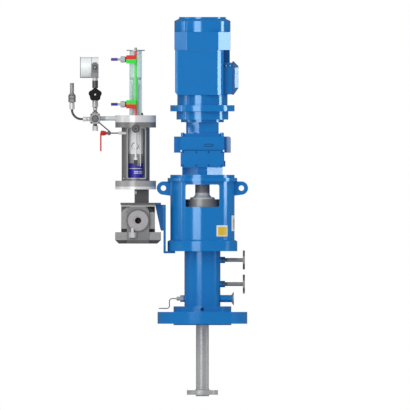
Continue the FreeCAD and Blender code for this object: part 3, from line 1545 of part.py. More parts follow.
# Connection block: core and ledge, wings, front column, round port and bevelled foot plate
core_sides = ("-block_x-core_half_width", "-block_x+core_half_width")
core = box(core_sides, ("-core_front", "core_back"), ("foot_plate_top", "ledge_bottom"))
ledge = box(core_sides, ("-ledge_front", "core_back"), ("ledge_bottom", "plate_bottom"))
wings = plate(shifted(mirrored([
    ("core_half_width", "wing_bottom"), ("core_half_width", "wing_shoulder_z"), ("wing_top_half", "wing_top"),
]), "-block_x"), "-wing_front", "-core_front")
column = plate(shifted(mirrored([
    ("column_half", "foot_plate_low"), ("column_half", "column_shoulder_z"),
    ("column_neck_half", "column_neck_z"),
]), "-block_x"), "-column_front", "-core_front")
PORT = ("-block_x", "-port_face_y", "port_z")
port_flange = cylinder("port_flange_radius", "port_flange_thickness",
                       ("-block_x", "-port_flange_y", "port_z"), "Y")
port_disc = cylinder("port_disc_radius", "port_disc_thickness", PORT, "Y")
port_recess = cylinder("port_recess_radius", "port_recess_depth", PORT, "Y")
port_hole = cylinder("port_bore", "port_depth", PORT, "Y")
foot_profile = shifted(mirrored([
    ("foot_plate_half-foot_bevel", "foot_plate_bottom"), ("foot_plate_half", "foot_plate_low"),
    ("foot_plate_half", "foot_plate_top"),
]), "-block_x")
foot_side = mirrored([
    ("foot_plate_depth-foot_bevel", "foot_plate_bottom"), ("foot_plate_depth", "foot_plate_low"),
    ("foot_plate_depth", "foot_plate_top"),
])
foot_plate = common(plate(foot_profile, "-foot_plate_depth", "foot_plate_depth"),
                    plate(foot_side, "-block_x-foot_plate_half", "-block_x+foot_plate_half", "YZ_Plane"))
column_foot = plate([
    ("-column_front+column_foot_slope", "foot_plate_bottom"), ("-column_front", "foot_plate_low"),
    ("-core_front", "foot_plate_low"), ("-core_front", "foot_plate_bottom"),
], "-block_x-column_half", "-block_x+column_half", "YZ_Plane")
node("connection_block", cut(fuse(core, ledge, wings, column, column_foot, foot_plate, port_flange,
                                  port_disc),
                             port_recess, port_hole))

bleed_body = hexagon("bleed_radius", "bleed_height", ("-bleed_x", "-bleed_y", "bleed_bottom"))
bleed_cap = cylinder("bleed_cap_radius", "bleed_cap_height", ("-bleed_x", "-bleed_y", "bleed_shoulder"))
node("bleed_screw", fuse(bleed_body, bleed_cap))
post_middle = "-block_x+post_offset"
node("support_post", box((f"{post_middle}-post_half_width", f"{post_middle}+post_half_width"),
                         ("-post_half_depth", "post_half_depth"), ("plate_top", "low_flange_bottom")))

# Pressure vessel: flanges, and a locking knob on the upper one
vessel_discs = [
    ring("0", "vessel_flange_radius", "low_flange_bottom", "low_flange_middle", VESSEL),
    ring("0", "vessel_flange_radius", "low_flange_middle", "low_flange_top", VESSEL),
    ring("rod_fit", "vessel_flange_radius", "high_flange_bottom", "high_flange_middle", VESSEL),
    ring("rod_fit", "vessel_flange_radius", "high_flange_middle", "high_flange_top", VESSEL),
]
knob_at = ("-vessel_x", "-vessel_flange_radius-knob_proud", "knob_z")
knob = cut(cylinder("knob_radius", "knob_depth", knob_at, "Y"),
           cylinder("knob_socket", "knob_proud/2", knob_at, "Y"),
           cylinder("vessel_flange_radius", "high_flange_top-high_flange_bottom",
                    (*VESSEL, "high_flange_bottom")))
node("vessel_flanges", *vessel_discs, knob)

# Casing with its framed window
casing_tube = ring("casing_radius-casing_wall", "casing_radius", "low_flange_top", "high_flange_bottom",
                   VESSEL)
frame_half = "casing_window_half+window_frame_width"
frame_block = rounded_window(frame_half, "casing_window_bottom-window_frame_width", "high_flange_bottom",
                             "casing_window_corner", "-2*casing_radius", "0", "casing_window_x")
frame_ring = ring("casing_radius-casing_wall", "window_frame_radius", "low_flange_top",
                  "high_flange_bottom", VESSEL)
casing_window = rounded_window("casing_window_half", "casing_window_bottom", "casing_window_top",
                               "casing_window_corner", "-2*casing_radius", "0", "casing_window_x")
node("vessel_casing", cut(fuse(casing_tube, common(frame_ring, frame_block)), casing_window))

# Sleeves round the indicator rod, its guide inside them, and the two rods in the window
sleeve_mark = cut(
    cylinder("sleeve_ring_radius", "sleeve_radius", ("-vessel_x", "-sleeve_radius-sleeve_ring_proud",
                                                     "sleeve_ring_z"), "Y"),
    cylinder("sleeve_ring_radius-sleeve_ring_width", "2*sleeve_radius", ("-vessel_x", "-2*sleeve_radius",
                                                                       "sleeve_ring_z"), "Y"),
    cylinder("sleeve_radius", "4*sleeve_ring_radius", (*VESSEL, "sleeve_ring_z-2*sleeve_ring_radius")))
upper_sleeve = ring("rod_fit", "sleeve_radius", "sleeve_bottom", "high_flange_bottom", VESSEL)
lower_sleeve = ring("rod_fit", "low_sleeve_radius", "low_flange_top", "sleeve_bottom", VESSEL)
guide_rod = cylinder("guide_radius", "guide_length", (*VESSEL, "low_flange_top"))
FRONT_ROD = ("-vessel_x", "-front_rod_y")
front_rod = cylinder("front_rod_radius", "front_rod_length", (*FRONT_ROD, "front_rod_bottom"))
front_nut = hexagon("front_nut_radius", "front_nut_height", (*FRONT_ROD, "front_nut_bottom"))
front_block = cut(
    box(("-vessel_x-front_block_left", "-vessel_x+front_block_right"), ("-front_rod_y-front_rod_radius", "0"),
        ("front_block_bottom", "front_nut_bottom")),
    cylinder("low_sleeve_radius", "2*front_block_height",
             (*VESSEL, "front_block_bottom-front_block_height/2")))
slim_rod = cylinder("slim_rod_radius", "slim_rod_length",
                    ("slim_rod_x", "-slim_rod_reach", "slim_rod_bottom"))
node("inner_cylinder", fuse(upper_sleeve, sleeve_mark), lower_sleeve, guide_rod, fuse(front_rod, front_nut),
     front_block, slim_rod)

node("indicator_rod", turned([
    ("guide_fit", "rod_bottom"), ("rod_radius", "rod_bottom"), ("rod_radius", "rod_top"),
    ("rod_neck_radius", "rod_top"), ("rod_neck_radius", "indicator_bottom"),
    ("indicator_radius", "indicator_bottom"), ("indicator_radius", "indicator_top"), ("0", "indicator_top"),
    ("0", "guide_bore_top"), ("guide_fit", "guide_bore_top"),
], (*VESSEL, "0")))

# Sight tube, its cap and the level strip in front of it
node("sight_tube", ring("sight_radius-sight_wall", "sight_radius", "high_flange_top", "sight_top", VESSEL))
node("sight_tube_cap", turned([
    ("0", "sight_top"), ("sight_cap_radius", "sight_top"), ("sight_cap_radius", "sight_cap_top"),
    ("sight_nipple_radius", "sight_cap_top"), ("sight_nipple_radius", "sight_nipple_top"),
    ("0", "sight_nipple_top"),
], (*VESSEL, "0")))
node("scale_strip", box(("-strip_left", "-strip_right"), ("-strip_front", "-sight_radius"),
                        ("high_flange_top", "sight_top")))


def clamp(level):
    """A block in front of the sight tube that wraps its left side."""
    heights = (f"{level}-clamp_height/2", f"{level}+clamp_height/2")
    front = box(("-clamp_left", "-clamp_right"), ("-clamp_front", "-strip_front"), heights)
    wrap = box(("-clamp_left", "-strip_left-clamp_gap"), ("-strip_front-clamp_gap", "-clamp_back"), heights)
    tube = cylinder("sight_radius", "2*clamp_height", (*VESSEL, f"{level}-clamp_height"))
    return cut(fuse(front, wrap), tube)


def level_sensor(level):
    """A threaded sensor in its black collar, with its cable plug."""
    body = turned([
        ("0", "0"), ("sensor_collar_radius", "0"), ("sensor_collar_radius", "sensor_collar_length"),
        ("sensor_radius", "sensor_collar_length"), ("sensor_radius", "sensor_body_end-sensor_bevel"),
        ("sensor_radius-sensor_bevel", "sensor_body_end"), ("sensor_neck_radius", "sensor_body_end"),
        ("sensor_neck_radius", "sensor_neck_end"), ("0", "sensor_neck_end"),
    ], ("-clamp_left", "-sensor_reach", level), "-X")
    connector = cylinder("sensor_plug_radius", "sensor_plug_length",
                         ("-sensor_plug_end", "-sensor_reach", level), "X")
    return [body, connector]


node("sensor_clamps", clamp("upper_sensor_z"), clamp("lower_sensor_z"))
node("level_sensors", *level_sensor("upper_sensor_z"), *level_sensor("lower_sensor_z"))

# Manifold with its plugs, and the pipes that leave it
MANIFOLD = ("-manifold_x", "0")
manifold_plan = shifted(mirrored([
    ("manifold_half-manifold_chamfer", "manifold_bottom"),
    ("manifold_half", "manifold_bottom+manifold_chamfer"),
    ("manifold_half", "manifold_top-manifold_chamfer"), ("manifold_half-manifold_chamfer", "manifold_top"),
]), "-manifold_x")
node("manifold_block", plate(manifold_plan, "-manifold_half", "manifold_half"))
front_plug = fuse(
    cylinder("front_ring_radius", "front_ring_length",
             ("-manifold_x", "-manifold_half-front_ring_length", "manifold_z"), "Y"),
    cylinder("front_plug_radius", "front_plug_length",
             ("-manifold_x", "-manifold_half-front_plug_length", "manifold_z"), "Y"))
bottom_plug = fuse(
    cylinder("bottom_neck_radius", "bottom_neck_length", (*MANIFOLD, "bottom_neck_z")),
    hexagon("bottom_nut_radius", "bottom_nut_length", (*MANIFOLD, "bottom_nut_z")))
outlet = fuse(
    cylinder("outlet_core_radius", "outlet_end-manifold_left", ("-outlet_end", "0", "outlet_z"), "X"),
    cylinder("outlet_ring_radius", "outlet_ring_length", ("-outlet_ring_end", "0", "outlet_z"), "X"),
    hexagon("outlet_nut_radius", "outlet_nut_length", ("-outlet_end", "0", "outlet_z"), "X"))
BYPASS = ("-bypass_y", "bypass_z")
casing_fitting = cut(
    cylinder("bypass_fitting_radius", "bypass_fitting_end-vessel_x", ("-bypass_fitting_end", *BYPASS), "X"),
    cylinder("casing_radius", "4*bypass_fitting_radius", (*VESSEL, "bypass_z-2*bypass_fitting_radius")))
node("pipe_fittings", front_plug, bottom_plug, outlet, casing_fitting)


def slanted(radius, first, last):
    """A straight tube between two places that are both bound to the sheet."""
    gap = [f"(({high})-({low}))" for low, high in zip(first, last)]
    spots = [[float(sheet.evalExpression(text)) for text in spot] for spot in (first, last)]
    way = Vector(*spots[1]) - Vector(*spots[0])
    return cylinder(radius, f"sqrt({gap[0]}^2+{gap[1]}^2+{gap[2]}^2)", first, Rotation(Vector(0, 0, 1), way))


header_pipe = cylinder("header_pipe_radius", "manifold_right-header_pipe_end",
                       ("-manifold_right", "0", "header_pipe_z"),
                       "X")
bent_tube = fuse(
    cylinder("bent_tube_radius", "bend_centre_x-outlet_end", ("-bend_centre_x", "0", "outlet_z"), "X"),
    elbow("bent_tube_bend", "bent_tube_radius", ("-bend_centre_x", "0", "bend_centre_z"),
          Vector(-1, 0, 0), Vector(0, -1, 0)),
    cylinder("bent_tube_radius", "check_nut_bottom-bend_centre_z", ("-bent_tube_x", "0", "bend_centre_z")))
valve_tube = cylinder("bypass_tube_radius", "ball_valve_left-bypass_fitting_end",
                      ("-ball_valve_left", *BYPASS), "X")
valve_at = ("-ball_valve_x", "-bypass_y-ball_valve_radius", "bypass_z")
valve_round = cylinder("ball_valve_radius", "2*ball_valve_radius", valve_at, "Y")
slant_tube = cut(slanted("bypass_tube_radius",
                         ("-manifold_right-slant_inset", "-manifold_half+slant_inset",
                          "manifold_bottom+slant_rise"),
                         ("-ball_valve_x+slant_end", "-bypass_y+slant_end", "bypass_z+slant_end_rise")),
                 plate(manifold_plan, "-manifold_half", "manifold_half"),
                 cylinder("ball_valve_radius", "2*ball_valve_radius", valve_at, "Y"))
node("connecting_pipes", header_pipe, bent_tube, valve_tube, slant_tube)

# Check valve: nut, groove, grooved hexagon, cone and the plain pipe end above it
check_core = turned([
    ("0", "check_nut_bottom"), ("check_nut_radius", "check_nut_bottom"),
    ("check_nut_radius", "check_nut_top"),
    ("check_groove_radius", "check_nut_top"), ("check_groove_radius", "check_hex_bottom"),
    ("check_core_radius", "check_hex_bottom"), ("check_core_radius", "check_hex_top"),
    ("check_cone_radius", "check_hex_top"),
    ("check_pipe_radius", "check_cone_top"), ("check_pipe_radius", "check_pipe_top"), ("0", "check_pipe_top"),
], ("-bent_tube_x", "0", "0"))
check_half = "(check_hex_height-check_hex_line)/2"
check_rings = [hexagon("check_hex_radius", check_half, ("-bent_tube_x", "0", level))
               for level in ("check_hex_bottom", f"check_hex_top-{check_half}")]
node("check_valve", fuse(check_core, *check_rings))

# Gauge valve: collar, ball joint, body, block with the stem's bore, and the adapter under the gauge
valve_column = turned([
    ("0", "manifold_top"), ("valve_body_radius", "manifold_top"), ("valve_body_radius", "valve_collar_top"),
    ("valve_neck_radius", "valve_collar_top"), ("valve_neck_radius", "valve_ball_z-valve_ball_half"),
    ("valve_ball_radius", "valve_ball_z-valve_ball_flat"),
    ("valve_ball_radius", "valve_ball_z+valve_ball_flat"),
    ("valve_neck_radius", "valve_body_bottom"),
    ("valve_body_radius", "valve_body_bottom"), ("valve_body_radius", "valve_block_bottom"),
    ("valve_neck_radius", "valve_block_bottom"), ("valve_neck_radius", "gauge_adapter_bottom"),
    ("gauge_adapter_radius", "gauge_adapter_bottom"), ("gauge_adapter_radius", "gauge_adapter_top"),
    ("gauge_stem_radius", "gauge_adapter_top"), ("gauge_stem_radius", "gauge_z"), ("0", "gauge_z"),
], (*MANIFOLD, "0"))
valve_block = box(("-manifold_x-valve_block_half", "-manifold_x+valve_block_half"),
                  ("-valve_block_half", "valve_block_half"), ("valve_block_bottom", "valve_block_top"))
stem_bore = cylinder("handwheel_stem_radius+running_fit",
                     "valve_block_half+handwheel_hub_gap+handwheel_stem_gap",
                     ("-manifold_x", "-valve_block_half-handwheel_hub_gap", "handwheel_z"), "Y")
gauge_barrel = cylinder("gauge_radius", "gauge_length", ("-gauge_left", "0", "gauge_z"), "X")
node("gauge_valve", cut(fuse(valve_column, valve_block), stem_bore, gauge_barrel))

wheel_parts = [cylinder("handwheel_core", "handwheel_thickness",
                        ("-manifold_x", "-handwheel_front", "handwheel_z"),
                        "Y")]
for index in range(int(size("handwheel_lobes"))):
    across, up = on_circle("handwheel_ring", f"(90+360*{index}/handwheel_lobes)")
    wheel_parts.append(cylinder("handwheel_lobe", "handwheel_thickness", (
        f"-manifold_x+{across}", "-handwheel_front", f"handwheel_z+{up}"), "Y"))
wheel_parts.append(cylinder("handwheel_stem_radius", "handwheel_front",
                            ("-manifold_x", "-handwheel_front", "handwheel_z"), "Y"))
wheel_parts.append(cylinder("handwheel_hub_radius", "handwheel_reach-valve_block_half-handwheel_hub_gap",
                            ("-manifold_x", "-handwheel_reach", "handwheel_z"), "Y"))
node("handwheel", fuse(*wheel_parts))

# Contact pressure gauge with its dial towards -X, and the connection box on its back
gauge_shell = turned([
    ("0", "0"), ("gauge_radius", "0"), ("gauge_radius", "gauge_seam-gauge_seam_width"),
    ("gauge_radius-gauge_seam_width", "gauge_seam-gauge_seam_width"),
    ("gauge_radius-gauge_seam_width", "gauge_seam"), ("gauge_radius", "gauge_seam"),
    ("gauge_radius", "gauge_length"), ("gauge_radius-2*gauge_wall", "gauge_length"),
    ("gauge_radius-2*gauge_wall", "gauge_length-gauge_bezel_depth"),
    ("gauge_inside", "gauge_length-gauge_bezel_depth"), ("gauge_inside", "dial_place"),
    ("pointer_pin_radius+running_fit", "dial_place"), ("pointer_pin_radius+running_fit", "gauge_wall"),
    ("0", "gauge_wall"),
], ("-gauge_right", "0", "gauge_z"), "-X")
box_left = "-manifold_x-gauge_box_left"
box_right = "-manifold_x+gauge_box_right"
gauge_box = plate([
    (box_left, "gauge_box_bottom"), (box_right, "gauge_box_bottom"),
    (box_right, "gauge_box_top-gauge_box_chamfer"),
    (f"{box_right}-gauge_box_chamfer", "gauge_box_top"), (f"{box_left}+gauge_box_chamfer", "gauge_box_top"),
    (box_left, "gauge_box_top-gauge_box_chamfer"),
], "-gauge_box_front", "-gauge_box_back")
box_socket = box((box_left, box_right), ("-box_socket_front", "-gauge_box_back"),
                 ("box_socket_bottom", "gauge_box_bottom"))
GLAND = ("-gauge_gland_x", "gauge_gland_z")
gauge_gland = cylinder("gauge_gland_radius", "gauge_gland_length",
                       (GLAND[0], "-gauge_box_front-gauge_gland_length", GLAND[1]), "Y")
gauge_plug = cylinder("gauge_plug_radius", "gauge_plug_length",
                      (GLAND[0], "-gauge_box_front-gauge_plug_length", GLAND[1]), "Y")
barrel_cut = cylinder("gauge_radius", "gauge_length", ("-gauge_left", "0", "gauge_z"), "X")
node("gauge_case", gauge_shell, cut(fuse(gauge_box, box_socket, gauge_gland, gauge_plug), barrel_cut))
node("gauge_dial", turned([
    ("dial_hole_radius", "0"), ("gauge_inside", "0"), ("gauge_inside", "gauge_dial_thickness"),
    ("dial_hole_radius", "gauge_dial_thickness"),
], ("-gauge_dial_x", "0", "gauge_z"), "-X"))
node("gauge_glass", cylinder("gauge_inside", "gauge_glass_thickness",
                             ("-gauge_left+gauge_bezel_depth", "0", "gauge_z"), "X"))
pointer_plate = plate(mirrored([
    ("pointer_tail_half", "gauge_z-pointer_tail"), ("pointer_root_half", "gauge_z"),
    ("pointer_tip_half", "gauge_z+pointer_length"),
]), "-pointer_front", "-pointer_back", "YZ_Plane")
POINTER = ("-pointer_front", "0", "gauge_z")
pointer_hub = cylinder("pointer_hub_radius", "pointer_hub_height", POINTER, "X")
pointer_pin = cylinder("pointer_pin_radius", "pointer_pin_length", POINTER, "X")
node("gauge_pointer", fuse(pointer_plate, pointer_hub, pointer_pin))

# Ball valve and its hanging lever
ball_stem = cylinder("ball_stem_radius", "ball_stem_length", ("-ball_stem_end", *BYPASS), "X")
spindle_bore = cylinder("lever_spindle_radius+running_fit", "ball_stem_length+lever_gap",
                        ("-lever_start", *BYPASS), "X")
node("ball_valve_body", cut(fuse(valve_round, ball_stem), spindle_bore))
lever_hub = turned([
    ("0", "-lever_spindle_length"), ("lever_spindle_radius", "-lever_spindle_length"),
    ("lever_spindle_radius", "0"), ("lever_hub_start_radius", "0"), ("lever_hub_radius", "lever_hub_taper"),
    ("lever_hub_radius", "lever_hub_length"), ("lever_hub_face", "lever_hub_length+lever_hub_round"),
    ("0", "lever_hub_length+lever_hub_round"),
], ("-lever_start", *BYPASS), "-X")
lever_arm = box(("-lever_arm_left", "-lever_arm_right"),
                ("-bypass_y-lever_width/2", "-bypass_y+lever_width/2"),
                ("lever_bottom", "bypass_z"))
node("ball_valve_lever", fuse(lever_hub, lever_arm))

# Screws: those of the front cover, and the sunk ones of the motor and gearbox flanges
cover_screws = []
for across in ("cover_screw_near", "cover_screw_far"):
    for side in ("-", ""):
        for level in ("cover_bottom+cover_screw_low", "cover_top-cover_screw_high"):
            cover_screws.append(hexagon("screw_radius", "screw_head",
                                        (side + across, "-cover_face-screw_head", level), "Y"))


def flush_screws(circle, top):
    """Socket screws whose heads end level with the face that they hold."""
    screws = []
    for at in flush_places(circle):
        head = cylinder("flange_screw_radius", "flange_screw_head", (*at, f"{top}-flange_screw_head"))
        socket = hexagon("flange_screw_socket", "flange_screw_head", (*at, f"{top}-flange_screw_head/2"))
        screws.append(cut(head, socket))
    return screws


node("screws_and_bolts", *cover_screws, *flush_screws("gearbox_screw_circle", "gearbox_neck_bottom"),
     *flush_screws("motor_screw_circle", "motor_flange_top"))

doc.recompute()
problems = [f"{item.Label}: {item.State}" for item in doc.Objects
            if any(word in ("Invalid", "Error") for word in item.State)]
for item in NODES:
    if item.Shape.isNull() or not item.Shape.isValid():
        problems.append(f"{item.Label}: shape not valid")
if problems:
    raise RuntimeError("\n".join(problems))
for item in NODES:
    item.Shape.exportStep(f"parts/{item.Label}.step")
print(len(NODES), "nodes written")
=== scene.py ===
"""Dresses the magnetically coupled agitator: painted castings, machined steel, pipework and studio."""

import json
import math

import bpy
from bpy.props import FloatProperty, FloatVectorProperty, PointerProperty
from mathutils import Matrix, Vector

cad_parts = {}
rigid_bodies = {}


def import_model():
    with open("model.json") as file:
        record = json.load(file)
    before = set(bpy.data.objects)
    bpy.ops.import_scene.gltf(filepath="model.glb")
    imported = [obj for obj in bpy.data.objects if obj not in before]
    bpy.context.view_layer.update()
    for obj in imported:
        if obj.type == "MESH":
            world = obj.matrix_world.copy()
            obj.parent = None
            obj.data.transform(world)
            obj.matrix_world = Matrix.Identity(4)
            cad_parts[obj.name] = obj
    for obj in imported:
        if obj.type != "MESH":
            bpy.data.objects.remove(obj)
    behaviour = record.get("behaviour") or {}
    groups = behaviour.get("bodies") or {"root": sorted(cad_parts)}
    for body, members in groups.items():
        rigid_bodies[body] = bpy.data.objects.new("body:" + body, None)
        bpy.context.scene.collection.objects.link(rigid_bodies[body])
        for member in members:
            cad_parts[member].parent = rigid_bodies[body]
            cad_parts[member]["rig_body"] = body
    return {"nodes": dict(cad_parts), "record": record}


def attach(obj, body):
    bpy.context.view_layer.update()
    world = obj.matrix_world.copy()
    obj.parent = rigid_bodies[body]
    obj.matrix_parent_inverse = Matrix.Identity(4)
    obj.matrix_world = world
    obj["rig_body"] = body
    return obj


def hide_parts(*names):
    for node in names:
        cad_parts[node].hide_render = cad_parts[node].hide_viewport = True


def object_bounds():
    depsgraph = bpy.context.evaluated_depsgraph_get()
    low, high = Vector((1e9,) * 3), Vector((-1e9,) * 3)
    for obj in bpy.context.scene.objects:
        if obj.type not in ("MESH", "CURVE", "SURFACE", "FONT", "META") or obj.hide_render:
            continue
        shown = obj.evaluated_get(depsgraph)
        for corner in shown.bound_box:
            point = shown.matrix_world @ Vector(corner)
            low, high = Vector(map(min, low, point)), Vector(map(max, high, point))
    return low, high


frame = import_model()
CAD_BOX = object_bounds()

# The upright axes of the pressure vessel and of the drive, as X and Y in metres
VESSEL = (-0.3117, 0.0)
AXIS = (0.0, 0.0)
# Middles of the block's port and of the manifold, as X and Z
PORT = (-0.3005, 0.4819)
MANIFOLD = (-0.5008, 0.9581)
# Heights of the handwheel's and the gauge's middles
WHEEL_HEIGHT = 1.0704
GAUGE_HEIGHT = 1.1969
# Nodes whose flat facets keep their own shading, and the angle up to which edges are smoothed
FACETED = ("motor_adapter", "motor_frame", "terminal_box_lid")
FACET_ANGLE = 15.0
SMOOTH_ANGLE = 40.0
# Edges sharper than this are rounded
ROUND_FROM_ANGLE = 35.0
# How far edges are rounded: on bars as a share of the radius, on thin plates of the thickness
BAR_EDGE = 0.12
PLATE_EDGE = 0.3
BLACK = (0.0, 0.0, 0.0)

bl_info = {
    "name": "Agitator dresser",
    "version": (1, 0, 0),
    "blender": (4, 5, 0),
    "location": "View3D > Sidebar > Agitator",
    "description": "Finishes the agitator's castings, steel parts, pipework and studio",
    "category": "Object",
}


class PaintSizes(bpy.types.PropertyGroup):
    """Colours and edge radii that a user would change."""

    machine_blue: FloatVectorProperty(
        name="Machine blue", description="Paint of the drive, lantern and flange", subtype="COLOR", size=3,
        default=(0.007, 0.196, 0.57))
    bracket_blue: FloatVectorProperty(
        name="Bracket blue", description="Paint of the bracket at the left", subtype="COLOR", size=3,
        default=(0.010, 0.155, 0.46))
    edge_round: FloatProperty(
        name="Edge round", description="Radius on the edges of painted castings", unit="LENGTH",
        default=0.0012)
    small_round: FloatProperty(
        name="Small round", description="Radius on the edges of machined parts", unit="LENGTH",
        default=0.0005)


class StudioSizes(bpy.types.PropertyGroup):
    """Camera, lamps and floor."""

    view_width: FloatProperty(
        name="View width", description="Width of the parallel view", unit="LENGTH", default=1.9147)
    view_x: FloatProperty(
        name="View centre", description="Place of the view's centre along X", unit="LENGTH", default=0.0121)
    view_z: FloatProperty(
        name="View height", description="Height of the view's centre", unit="LENGTH", default=0.5548)
    fill: FloatProperty(
        name="Fill light", description="How bright the surroundings are for matt surfaces", default=0.52)
    flag_tone: FloatProperty(
        name="Flag tone", description="How bright the boards between the lamps are", default=0.12)
    side_light_low: FloatProperty(
        name="Side light foot", description="Height at which the two side lights begin", unit="LENGTH",
        default=0.56)
    front_light_low: FloatProperty(
        name="Front light foot", description="Height at which the front light begins", unit="LENGTH",
        default=0.335)
    lamp_distance: FloatProperty(
        name="Lamp distance", description="Distance of the lamps from the drive's axis", unit="LENGTH",
        default=8.0)
    floor_gap: FloatProperty(
        name="Floor gap", description="Distance of the floor under the shaft's end", unit="LENGTH",
        default=0.03)
    floor_size: FloatProperty(
        name="Floor size", description="Length of the floor's sides", unit="LENGTH", default=12.0)


class Wire:
    """One socket of a material, so that shader maths is written as an expression."""

    def __init__(self, tree, out):
        self.tree = tree
        self.out = out

    def math(self, operation, *others):
        node = self.tree.nodes.new("ShaderNodeMath")
        node.operation = operation
        for index, value in enumerate((self, *others)):
            plug(self.tree, node.inputs[index], value)
        return Wire(self.tree, node.outputs[0])

    def __add__(self, other):
        return self.math("ADD", other)

    def __sub__(self, other):
        return self.math("SUBTRACT", other)

    def __mul__(self, other):
        return self.math("MULTIPLY", other)

    def __rsub__(self, other):
        return (self * -1) + other

    __radd__ = __add__
    __rmul__ = __mul__

    def above(self, limit):
        return self.math("GREATER_THAN", limit)

    def below(self, limit):
        return self.math("LESS_THAN", limit)

    def between(self, low, high):
        """One inside two limits and nought outside them."""
        return self.above(low) * self.below(high)

    def either(self, other):
        return self.math("MAXIMUM", other)

    def around(self, middle, spread):
        """A noise made into a value that varies round a middle one."""
        return self * spread + (middle - spread / 2)


def plug(tree, socket, value):
    """Link a wire to a socket, or set a plain value there in the form that the socket needs."""
    if isinstance(value, Wire):
        tree.links.new(value.out, socket)
    elif hasattr(socket.default_value, "__len__") and not hasattr(value, "__len__"):
        socket.default_value = (value,) * len(socket.default_value)
    elif hasattr(value, "__len__") and len(value) == 3 and len(socket.default_value) == 4:
        socket.default_value = (*value, 1.0)
    else:
        socket.default_value = value


class Finish:
    """A material in the making, round one main shader."""

    def __init__(self, name, **shader):
        self.material = bpy.data.materials.new(name)
        self.material.use_nodes = True
        self.tree = self.material.node_tree
        self.shader = self.tree.nodes["Principled BSDF"]
        self.feed(**shader)

    def feed(self, **sockets):
        """Fill the main shader's sockets."""
        for name, value in sockets.items():
            plug(self.tree, self.shader.inputs[name.replace("_", " ")], value)
        return self

    def add(self, kind, out=0, settings=(), **sockets):
        """Any node: its settings first, then its sockets by name or by number."""
        node = self.tree.nodes.new(kind)
        for name, value in dict(settings).items():
            setattr(node, name, value)
        for name, value in sockets.items():
            key = int(name[1:]) if name[1:].isdigit() else name.replace("_", " ")
            plug(self.tree, node.inputs[key], value)
        return Wire(self.tree, node.outputs[out])

    def place(self):
        return self.add("ShaderNodeTexCoord", out="Object")

    def along(self, letter):
        """How far a point lies along one axis of the object."""
        return self.add("ShaderNodeSeparateXYZ", out=letter, Vector=self.place())

    def stretched(self, scale):
        """Object coordinates with their own scale along each axis."""
        return self.add("ShaderNodeVectorMath", settings={"operation": "MULTIPLY"}, i0=self.place(), i1=scale)

    def noise(self, scale, detail=2.0, vector=None):
        """A cloudy noise from 0 to 1."""
        where = self.place() if vector is None else vector
        return self.add("ShaderNodeTexNoise", Vector=where, Scale=scale, Detail=detail)

    def blend(self, share, first, second):
        """A colour between two, by a share from 0 to 1."""
        return self.add("ShaderNodeMix", out=2, settings={"data_type": "RGBA"}, i0=share, i6=first, i7=second)

    def zones(self, colour, *zones):
        """A colour, changed to another where each mask is one."""
        for mask, other in zones:
            colour = self.blend(mask, colour, other)
        return colour

    def inside(self, letters, centre, radius):
        """One inside a circle drawn in the plane of two axes."""
        first, second = (self.along(letter) - at for letter, at in zip(letters, centre))
        return (first * first + second * second).below(radius ** 2)

    def tinted(self, colour, tint):
        """The colour as it is, or what the tint makes of it from place to place."""
        return colour if tint is None else tint(self, colour)

    def bump(self, height, distance, strength=1.0):
        normal = self.add("ShaderNodeBump", Height=height, Distance=distance, Strength=strength)
        return self.feed(Normal=normal)


def scaled(colour, share):
    """A colour made darker or brighter."""
    return tuple(part * share for part in colour)


def grey(level, extra_blue=0.0):
    """A neutral colour, or one with a little more blue."""
    return (level, level, level + extra_blue)


def paint(name, colour, rough=0.12, tint=None, dull=None):
    """Glossy machine paint: fine peel, a slow change of tone, and highlights tinted by the blue under it.

    The tint colours each place, with painted light and shade in some places, and dull is a mask for places
    with less gloss.
    """
    finish = Finish(name, IOR=2.0, Specular_Tint=(0.5, 0.75, 1.0, 1.0))
    tone = (finish.noise(7.0, 3.0) - 0.5) * 0.5 + 0.5
    dust = finish.noise(60.0, 4.0)
    base = finish.tinted(scaled(colour, 1.05), tint)
    worn = 0.0 if dull is None else dull(finish) * 0.5
    finish.feed(Base_Color=finish.blend(tone * 0.1, base, BLACK), Roughness=dust.around(rough, 0.06) + worn)
    return finish.bump(finish.noise(900.0, 2.0), 0.00004, 0.15).material


def steel(name, colour, rough=0.3, metal=0.3, marks=(6.0, 6.0, 1400.0), tint=None):
    """Machined steel with fine tool marks. The tint colours each place, with painted light and shade in some
    places.
    """
    finish = Finish(name, Metallic=metal)
    lines = finish.noise(1.0, 3.0, finish.stretched(marks))
    cloud = finish.noise(18.0, 3.0)
    base = finish.tinted(colour, tint)
    finish.feed(Base_Color=finish.blend(lines * 0.14, base, BLACK),
                Roughness=lines.around(rough, 0.08) + cloud.around(0.0, 0.08))
    return finish.bump(lines, 0.00002, 0.1).material


def blasted(name, colour, rough=0.5, metal=0.4, tint=None):
    """Bead-blasted or cast metal with a fine even grain."""
    finish = Finish(name, Metallic=metal)
    grain = finish.noise(1500.0, 3.0)
    cloud = finish.noise(25.0, 4.0)
    base = finish.tinted(colour, tint)
    finish.feed(Base_Color=finish.blend(cloud * 0.14, base, BLACK), Roughness=grain.around(rough, 0.1))
    return finish.bump(grain, 0.0001, 0.25).material


def moulded(name, colour, rough=0.4, coat=0.0, tint=None):
    """Moulded plastic with a fine spark texture."""
    finish = Finish(name, IOR=1.49, Coat_Weight=coat)
    grain = finish.noise(1800.0, 2.0)
    base = finish.tinted(colour, tint)
    finish.feed(Base_Color=finish.blend(finish.noise(30.0, 3.0) * 0.12, base, BLACK),
                Roughness=grain.around(rough, 0.06))
    return finish.bump(grain, 0.00006, 0.2).material


def clear(name, colour, rough=0.04, alpha=0.3):
    """A clear wall that lets the background through and keeps its own gloss."""
    finish = Finish(name, IOR=1.49, Specular_IOR_Level=0.6)
    smear = finish.noise(40.0, 2.0)
    finish.feed(Base_Color=finish.blend(smear, scaled(colour, 0.97), colour), Roughness=smear * 0.03 + rough,
                Alpha=smear.around(alpha, 0.04))
    return finish.material


